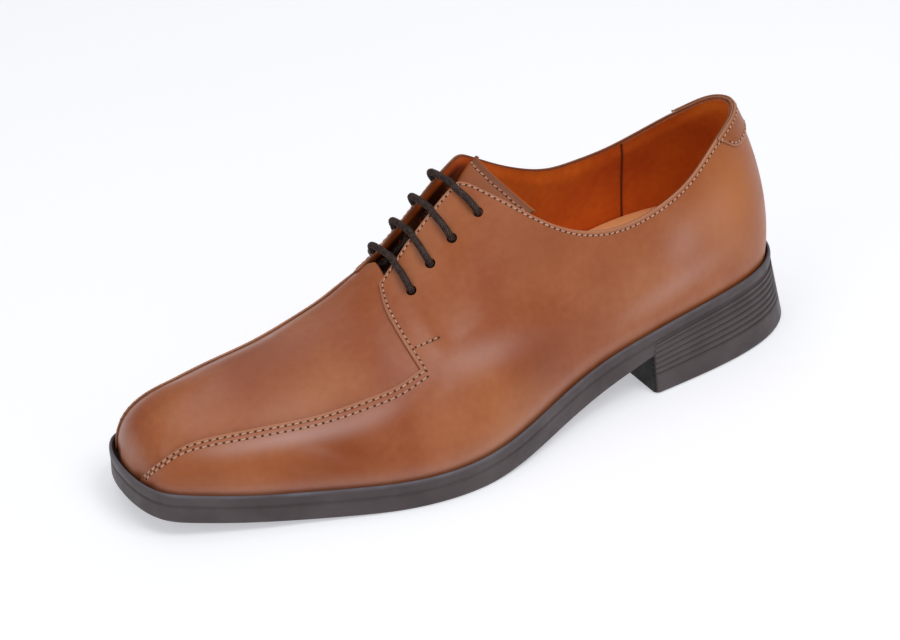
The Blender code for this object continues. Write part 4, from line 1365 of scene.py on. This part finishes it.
def heel_loop(share, sunk):
    """Loop round the heel block at a share of its height, closed by a breast with rounded corners."""
    first = edge_place(HEEL_BREAST_X - HEEL_CORNER, LATERAL)
    last = edge_place(HEEL_BREAST_X - HEEL_CORNER, MEDIAL) - OUTLINE_STEPS
    edge, outward = edge_point(np.linspace(first, last, 200), 0.0)
    flare = HEEL_FLARE + HEEL_BACK_FLARE * np.clip(-outward[:, 0], 0, 1) ** 2
    plan = edge + outward * (HEEL_PROUD + flare * (1 - share) - sunk)[:, None]
    low, high = plan[-1, 1] + HEEL_CORNER, plan[0, 1] - HEEL_CORNER
    turns = np.linspace(0, math.pi / 2, 7)[1:]
    x = HEEL_BREAST_X - HEEL_CORNER + HEEL_CORNER * np.sin(turns)
    corner = np.column_stack([x, low - HEEL_CORNER * np.cos(turns)])
    other = np.column_stack([x, high + HEEL_CORNER * np.cos(turns)])[::-1]
    middle = np.column_stack([np.full(30, HEEL_BREAST_X), np.linspace(low, high, 32)[1:-1]])
    loop = np.concatenate([plan, corner, middle, other])
    return np.column_stack([loop, share * (rim_height(loop[:, 0]) - HEEL_TOP_DROP)])


def make_sole():
    rings = [ring(inset, lambda x: underside(x) + up) for inset, up in SOLE_FOOT]
    rings += [ring(inset, lambda x: rim_height(x) - depth) for inset, depth, _ in SOLE_SIDE]
    plate, plate_faces = loft(rings)

    rings = [heel_loop(share, sunk) for share, sunk in HEEL_FOOT]
    plain = np.linspace(HEEL_PLAIN_START, HEEL_PLAIN_SHARE, 8, endpoint=False)
    rings += [heel_loop(share, 0.0) for share in plain]
    pitch = (1 - HEEL_PLAIN_SHARE) / HEEL_GROOVES
    for part in np.linspace(0, HEEL_GROOVES, HEEL_GROOVES * GROOVE_STEPS + 1):
        groove = GROOVE_DEPTH * math.exp(-(((part % 1) - GROOVE_AT) / GROOVE_HALF) ** 2)
        rings.append(heel_loop(HEEL_PLAIN_SHARE + part * pitch, groove))
    heel, heel_faces = loft(rings)
    points = np.concatenate([plate, heel])
    faces = np.concatenate([plate_faces, heel_faces + len(plate)])
    # Painted highlight on the rim's top and painted shade in the gap under the upper, ring by ring
    shade = [0.0] * len(SOLE_FOOT) + [row[2] for row in SOLE_SIDE]
    start, end = (HEEL_BREAST_X - depth for depth in BREAST_SHADE_DEPTHS)
    # Painted shade on the heel's front
    breast = BREAST_SHADE * ease(heel[:, 0], start, end)
    shade = np.concatenate([np.repeat(shade, len(plate) // len(shade)), breast])
    new_piece("sole", points, faces, [SOLE], node="sole", slot="sole", edge=shade)


# Lace

def over_panel(side, station, share):
    """Cord centre lying on the outside of the side panel."""
    return shell_point(side, station, share, STEP + LACE_RADIUS + LACE_LIFT)


def under_panel(side, station, share):
    """Cord centre lying against the inside of the upper."""
    return shell_point(side, station, share, -WALL - LACE_RADIUS - LACE_LIFT)


def over_edge(side, station):
    """Cord centre where it bends over the edge of the slit."""
    share = topline_share(side, station)
    edge = shell_point(side, station, share, STEP)
    outward = unit(last_normal(side, np.asarray(station), share) + (0, 0, 1))
    return edge + outward * (LACE_RADIUS + LACE_LIFT + LACE_EDGE_LIFT[side])


def bar_points(row, start_side):
    """Cord centre from under one hole, up through it, over both facings and down the other."""
    halves = []
    for side in (start_side, -start_side):
        station, share = hole_places(side)[:, row]
        lean = HOLES[row][4 if side > 0 else 5] - station
        edge = float(topline_share(side, station + lean))
        centres, normals = hole_frames(side)
        half = [under_panel(side, station, share), centres[row] + normals[row] * STEP / 2]
        for way, extra in LACE_OVER_FACING:
            point = over_panel(side, station + lean * way, share + (edge - share) * way)
            half.append(point + normals[row] * extra)
        half.append(over_edge(side, station + lean))
        halves.append(half)
    first, second = halves
    return first + second[::-1]


def lace_route():
    """Bars from the top hole down, the legs inside between them, and the return inside."""
    points = []
    side = LATERAL
    rows = range(len(HOLES))
    for row in rows:
        points += bar_points(row, side)
        side = -side
        if row + 1 in rows:
            station, share = hole_places(side)[:, row:row + 2].mean(axis=1)
            points.append(under_panel(side, station, share))
    for row in reversed(rows):
        station, share = hole_places(LATERAL)[:, row]
        points.append(under_panel(LATERAL, station - LACE_RETURN_LEAD, share - LACE_RETURN_DROP))
    return np.array(points)


def along_path(points, step):
    """Points at even steps along a polyline, and their distances from its start."""
    legs = np.linalg.norm(np.diff(points, axis=0), axis=1)
    length = np.concatenate([[0.0], np.cumsum(legs)])
    count = max(int(round(length[-1] / step)), 1)
    at = np.linspace(0, length[-1], count + 1)
    return np.stack([np.interp(at, length, points[:, k]) for k in range(3)], 1), at


def braid_height(turn, distance):
    """Height of a braid of two crossing sets of strands over a cord, from 0 to 1."""
    around = LACE_STRANDS * turn / (2 * math.pi)
    along = LACE_STRANDS * distance / LACE_BRAID_PITCH
    right, left = around + along, around - along
    over = (np.floor(right) + np.floor(left)) % 2 > 0.5
    right_hump = np.sin(math.pi * (right % 1))
    left_hump = np.sin(math.pi * (left % 1))
    first = right_hump ** STRAND_ROUND * (STRAND_DIP + (1 - STRAND_DIP) * left_hump)
    second = left_hump ** STRAND_ROUND * (STRAND_DIP + (1 - STRAND_DIP) * right_hump)
    return np.where(over, first, second)


def make_lace():
    """The cord as one braided tube along its route, with rounded ends."""
    route = lace_route()
    legs = np.linalg.norm(np.diff(route, axis=0), axis=1)
    knots = np.concatenate([[0.0], np.cumsum(np.sqrt(legs))])
    path = smooth(knots, route)(np.linspace(0, knots[-1], LACE_SAMPLES))
    path, distance = along_path(path, LACE_STEP)
    forward = unit(np.gradient(path, axis=0))
    side = np.zeros_like(path)
    side[0] = unit(np.cross(forward[0], LACE_START_UP))
    for i in range(1, len(path)):
        side[i] = unit(side[i - 1] - forward[i] * np.dot(side[i - 1], forward[i]))
    other = np.cross(forward, side)
    turn = np.linspace(0, 2 * math.pi, LACE_SEGMENTS, endpoint=False)
    height = braid_height(turn[None, :], distance[:, None])
    radius = LACE_RADIUS + LACE_BRAID_DEPTH * (height - LACE_BRAID_MIDDLE)
    ends = np.minimum(distance, distance[-1] - distance)
    radius *= np.sqrt(np.clip(ends / LACE_RADIUS, LACE_TIP, 1))[:, None]
    rings = (path[:, None, :] + radius[..., None] * (np.cos(turn)[None, :, None] * side[:, None, :]
             + np.sin(turn)[None, :, None] * other[:, None, :]))
    points, faces = loft(rings)
    new_piece("lace", points, faces, [CORD], node="lace", slot="lace",
              edge=height.reshape(-1), crease=180.0)


# Stitches

def ball(rings=7, segments=8):
    """Unit ball as points and faces, with its poles on the first axis."""
    points = [(-1.0, 0.0, 0.0)]
    for i in range(1, rings):
        angle = math.pi * i / rings
        for j in range(segments):
            turn = 2 * math.pi * j / segments
            out = math.sin(angle)
            points.append((-math.cos(angle), out * math.cos(turn), out * math.sin(turn)))
    points.append((1.0, 0.0, 0.0))
    end = len(points) - 1
    faces = []
    for j in range(segments):
        k = (j + 1) % segments
        faces.append((0, 1 + k, 1 + j, 1 + j))
        for i in range(rings - 2):
            a = 1 + i * segments
            faces.append((a + j, a + k, a + segments + k, a + segments + j))
        a = 1 + (rings - 2) * segments
        faces.append((a + j, a + k, end, end))
    return np.array(points), np.array(faces)


BALL_POINTS, BALL_FACES = ball()


def beads(centres, forward, normal, size, tilt=0.0):
    """Many balls stretched to a size along the row, across it and upward."""
    across = unit(np.cross(normal, forward))
    forward = unit(np.cross(across, normal))
    c = math.cos(tilt)
    s = math.sin(tilt)
    axes = (forward * c + across * s, across * c - forward * s, normal)
    body = BALL_POINTS * size
    blunt = np.abs(BALL_POINTS[:, 0]) ** STITCH_BLUNT
    body[:, 0] = np.sign(BALL_POINTS[:, 0]) * blunt * size[0]
    points = centres[:, None, :]
    for k, axis in enumerate(axes):
        points = points + body[None, :, k, None] * axis[:, None, :]
    faces = BALL_FACES[None] + (np.arange(len(centres)) * len(body))[:, None, None]
    return points.reshape(-1, 3), faces.reshape(-1, 4)


def sew(name, rows, pitch, lift=THREAD_LIFT):
    """Stitched rows, each given as surface points and normals: threads, and dark beads of painted shade
    for the needle holes between them.
    """
    parts = {"thread": [], "hole": []}
    for points, normals in rows:
        line, _ = along_path(points, pitch)
        nearest = np.argmin(((line[:, None] - points[None]) ** 2).sum(-1), axis=1)
        up = normals[nearest]
        middle = (line[1:] + line[:-1]) / 2
        middle_up = unit(up[1:] + up[:-1])
        forward = unit(np.diff(line, axis=0))
        size = (pitch * STITCH_HALF_SHARE, THREAD_RADIUS, THREAD_RADIUS)
        parts["thread"].append(beads(middle + middle_up * lift, forward, middle_up, size, STITCH_TILT))
        along = unit(np.gradient(line, axis=0)) if len(line) > 2 else np.repeat(forward, 2, 0)
        parts["hole"].append(beads(line, along, up, NEEDLE_HOLE))
    for kind, material in (("thread", THREAD), ("hole", HOLE)):
        points = []
        faces = []
        count = 0
        for row_points, row_faces in parts[kind]:
            points.append(row_points)
            faces.append(row_faces + count)
            count += len(row_points)
        new_piece("%s_%s" % (kind, name), np.concatenate(points), np.concatenate(faces), [material])


def surface_row(side, station, share, offset):
    """Points and normals of a row on the leather."""
    lift = offset + spots(RELIEF, side, station, share)
    return shell_point(side, station, share, lift), last_normal(side, station, share)


def seam_rows(side):
    """Two rows along the seam over the toe plug."""
    rows = []
    for inset in SEAM_ROW_INSETS:
        start = SEAM[side][0, 0] + SEAM_ROW_START + SEAM_ROW_SLANT * inset
        station = np.linspace(start, FACING_CORNER_STATION + SEAM_ROW_PAST, 400)
        share = seam_share[side](station) - inset / length_at(side, station)
        keep = share > SEAM_ROW_LOWEST
        rows.append(surface_row(side, station[keep], share[keep], STEP))
    return rows


def edge_row(side):
    """Row along the collar, the slit and the facing's front edge, as one line."""
    top = np.linspace(HEEL_STATION - POLE_STATION, THROAT_STATION, 900)
    share = topline_share(side, top) - COLLAR_ROW_INSET / length_at(side, top)
    low = FACING_EDGE[side][0, 0] - FACING_ROW_PAST
    front_share = np.linspace(share[-1], low, 200)
    front = facing_station[side](front_share) + FACING_ROW_INSET / STATION_LENGTH
    keep = top > front[0]
    station = np.concatenate([top[keep], front])
    share = np.concatenate([share[keep], front_share])
    over_tab = (station > TAB_EDGE[0, 0]) & (share > tab_share(np.maximum(station, TAB_EDGE[0, 0])))
    return surface_row(side, station, share, STEP + TAB_THICK * over_tab)


def tab_row():
    """Row along the lower edge of the heel tab, round the back."""
    reach = np.linspace(TAB_EDGE[0, 0] + TAB_ROW_START, HEEL_STATION, 120)
    share = tab_share(reach) + TAB_ROW_INSET / length_at(LATERAL, reach)
    points, normals = [], []
    for side, order in ((LATERAL, slice(None)), (MEDIAL, slice(-2, None, -1))):
        row_points, row_normals = surface_row(side, reach[order], share[order], STEP + TAB_THICK)
        points.append(row_points)
        normals.append(row_normals)
    return np.concatenate(points), np.concatenate(normals)


def tongue_row():
    """Row along the top edge of the tongue."""
    across = np.linspace(0.03, 0.97, 200)
    shares = np.linspace(0.8, 1, 60)
    grid, normal = tongue_surface(shares, across)
    to_top = np.linalg.norm(grid - grid[-1:], axis=-1)
    row = np.argmin(np.abs(to_top - TONGUE_ROW_INSET), axis=0)
    columns = np.arange(len(across))
    return grid[row, columns], normal[row, columns]


def tack_row(side):
    """Short row at the front corner of the facing."""
    ends = np.array(TACK[side])
    station, share = (np.linspace(ends[0, k], ends[1, k], 40) for k in (0, 1))
    return surface_row(side, station, share, STEP)


def make_stitches():
    for side, name in SIDE_NAME.items():
        lift = THREAD_LIFT if side > 0 else FAR_THREAD_LIFT
        sew("seam_" + name, seam_rows(side), SEAM_STITCH_PITCH, lift)
        sew("edge_" + name, [edge_row(side), tack_row(side)], STITCH_PITCH)
    sew("heel_tab", [tab_row()], STITCH_PITCH)
    sew("tongue", [tongue_row()], STITCH_PITCH)


# Stage

FLOOR_REACH = 12.0
FLOOR_LEVEL = -0.0003
FLOOR_GLOW = (0.95, 0.96, 1.0)
FLOOR_GLOW_STRENGTH = 0.445
FLOOR_DEEP = (0.67, 0.68, 0.695)
FLOOR_TONE = (0.69, 0.70, 0.715)
WORLD_COLOUR = (0.93, 0.95, 1.0, 1.0)
WORLD_STRENGTH = 0.28
SENSOR_WIDTH = 36.0


def make_floor():
    g = Graph("floor_paper", {"Emission Color": FLOOR_GLOW, "Emission Strength": FLOOR_GLOW_STRENGTH})
    g.set("Base Color", g.mix(g.noise(3.0), FLOOR_DEEP, FLOOR_TONE))
    g.set("Roughness", 0.9)
    mesh = bpy.data.meshes.new("floor")
    signs = ((-1, -1), (1, -1), (1, 1), (-1, 1))
    corners = [(x * FLOOR_REACH, y * FLOOR_REACH, FLOOR_LEVEL) for x, y in signs]
    mesh.from_pydata(corners, [], [(0, 1, 2, 3)])
    mesh.materials.append(g.material)
    add_object("floor", mesh)


# Soft boxes: name, position and target in metres, size, power, colour
LIGHTS = [
    ("main", (-0.35, 0.70, 1.40), (0.0, 0.0, 0.04), 0.7, 7.6, (0.99, 0.98, 0.98)),
    ("overhead", (0.1, -0.1, 1.5), (0.0, 0.0, 0.03), 1.5, 7.2, (1.0, 0.98, 0.97)),
    ("toe_side", (1.3, 0.5, 0.9), (0.05, 0.0, 0.04), 0.8, 3.5, (0.96, 0.97, 1.0)),
    ("outer_side", (-0.3, 1.5, 0.7), (0.0, 0.0, 0.05), 1.0, 2.2, (0.98, 0.98, 1.0)),
    ("back", (-0.6, -1.2, 1.1), (0.0, 0.0, 0.05), 1.0, 1.3, (1.0, 0.98, 0.96)),
]


def make_lights():
    for name, position, target, size, power, colour in LIGHTS:
        data = bpy.data.lights.new(name, "AREA")
        data.energy = power
        data.size = size
        data.color = colour
        light = add_object(name, data)
        light.location = position
        light.rotation_mode = "QUATERNION"
        light.rotation_quaternion = (Vector(target) - Vector(position)).to_track_quat("-Z", "Y")
    world = bpy.data.worlds.new("studio")
    world.use_nodes = True
    background = world.node_tree.nodes["Background"]
    background.inputs["Color"].default_value = WORLD_COLOUR
    background.inputs["Strength"].default_value = WORLD_STRENGTH
    bpy.context.scene.world = world
    bpy.context.scene.view_settings.view_transform = "Standard"


def make_camera():
    azimuth = math.radians(CAMERA_AZIMUTH)
    elevation = math.radians(CAMERA_ELEVATION)
    roll = math.radians(CAMERA_ROLL)
    level = math.cos(elevation)
    back = Vector((math.sin(azimuth) * level, -math.cos(azimuth) * level, math.sin(elevation)))
    right = Vector((math.cos(azimuth), math.sin(azimuth), 0.0))
    up = back.cross(right)
    rolled_right = right * math.cos(roll) + up * math.sin(roll)
    rolled_up = up * math.cos(roll) - right * math.sin(roll)
    data = bpy.data.cameras.new("camera")
    data.lens = CAMERA_LENS
    data.sensor_width = SENSOR_WIDTH
    camera = add_object("camera", data)
    turn = Matrix((rolled_right, rolled_up, back)).transposed()
    where = Vector(place(CAMERA_TARGET)) + back * CAMERA_DISTANCE * MM
    camera.matrix_world = Matrix.Translation(where) @ turn.to_4x4()
    bpy.context.scene.camera = camera


def main():
    for side in SIDES:
        panel = make_panel(side)
        punch(panel, *hole_frames(side), HOLE_RADIUS)
    make_plug()
    lining = make_lining()
    for side in SIDES:
        punch(lining, *hole_frames(side), HOLE_RADIUS)
    make_vamp_lining()
    make_heel_tab()
    make_tongue()
    make_insole()
    make_sole()
    make_lace()
    make_stitches()
    make_floor()
    make_lights()
    make_camera()


main()
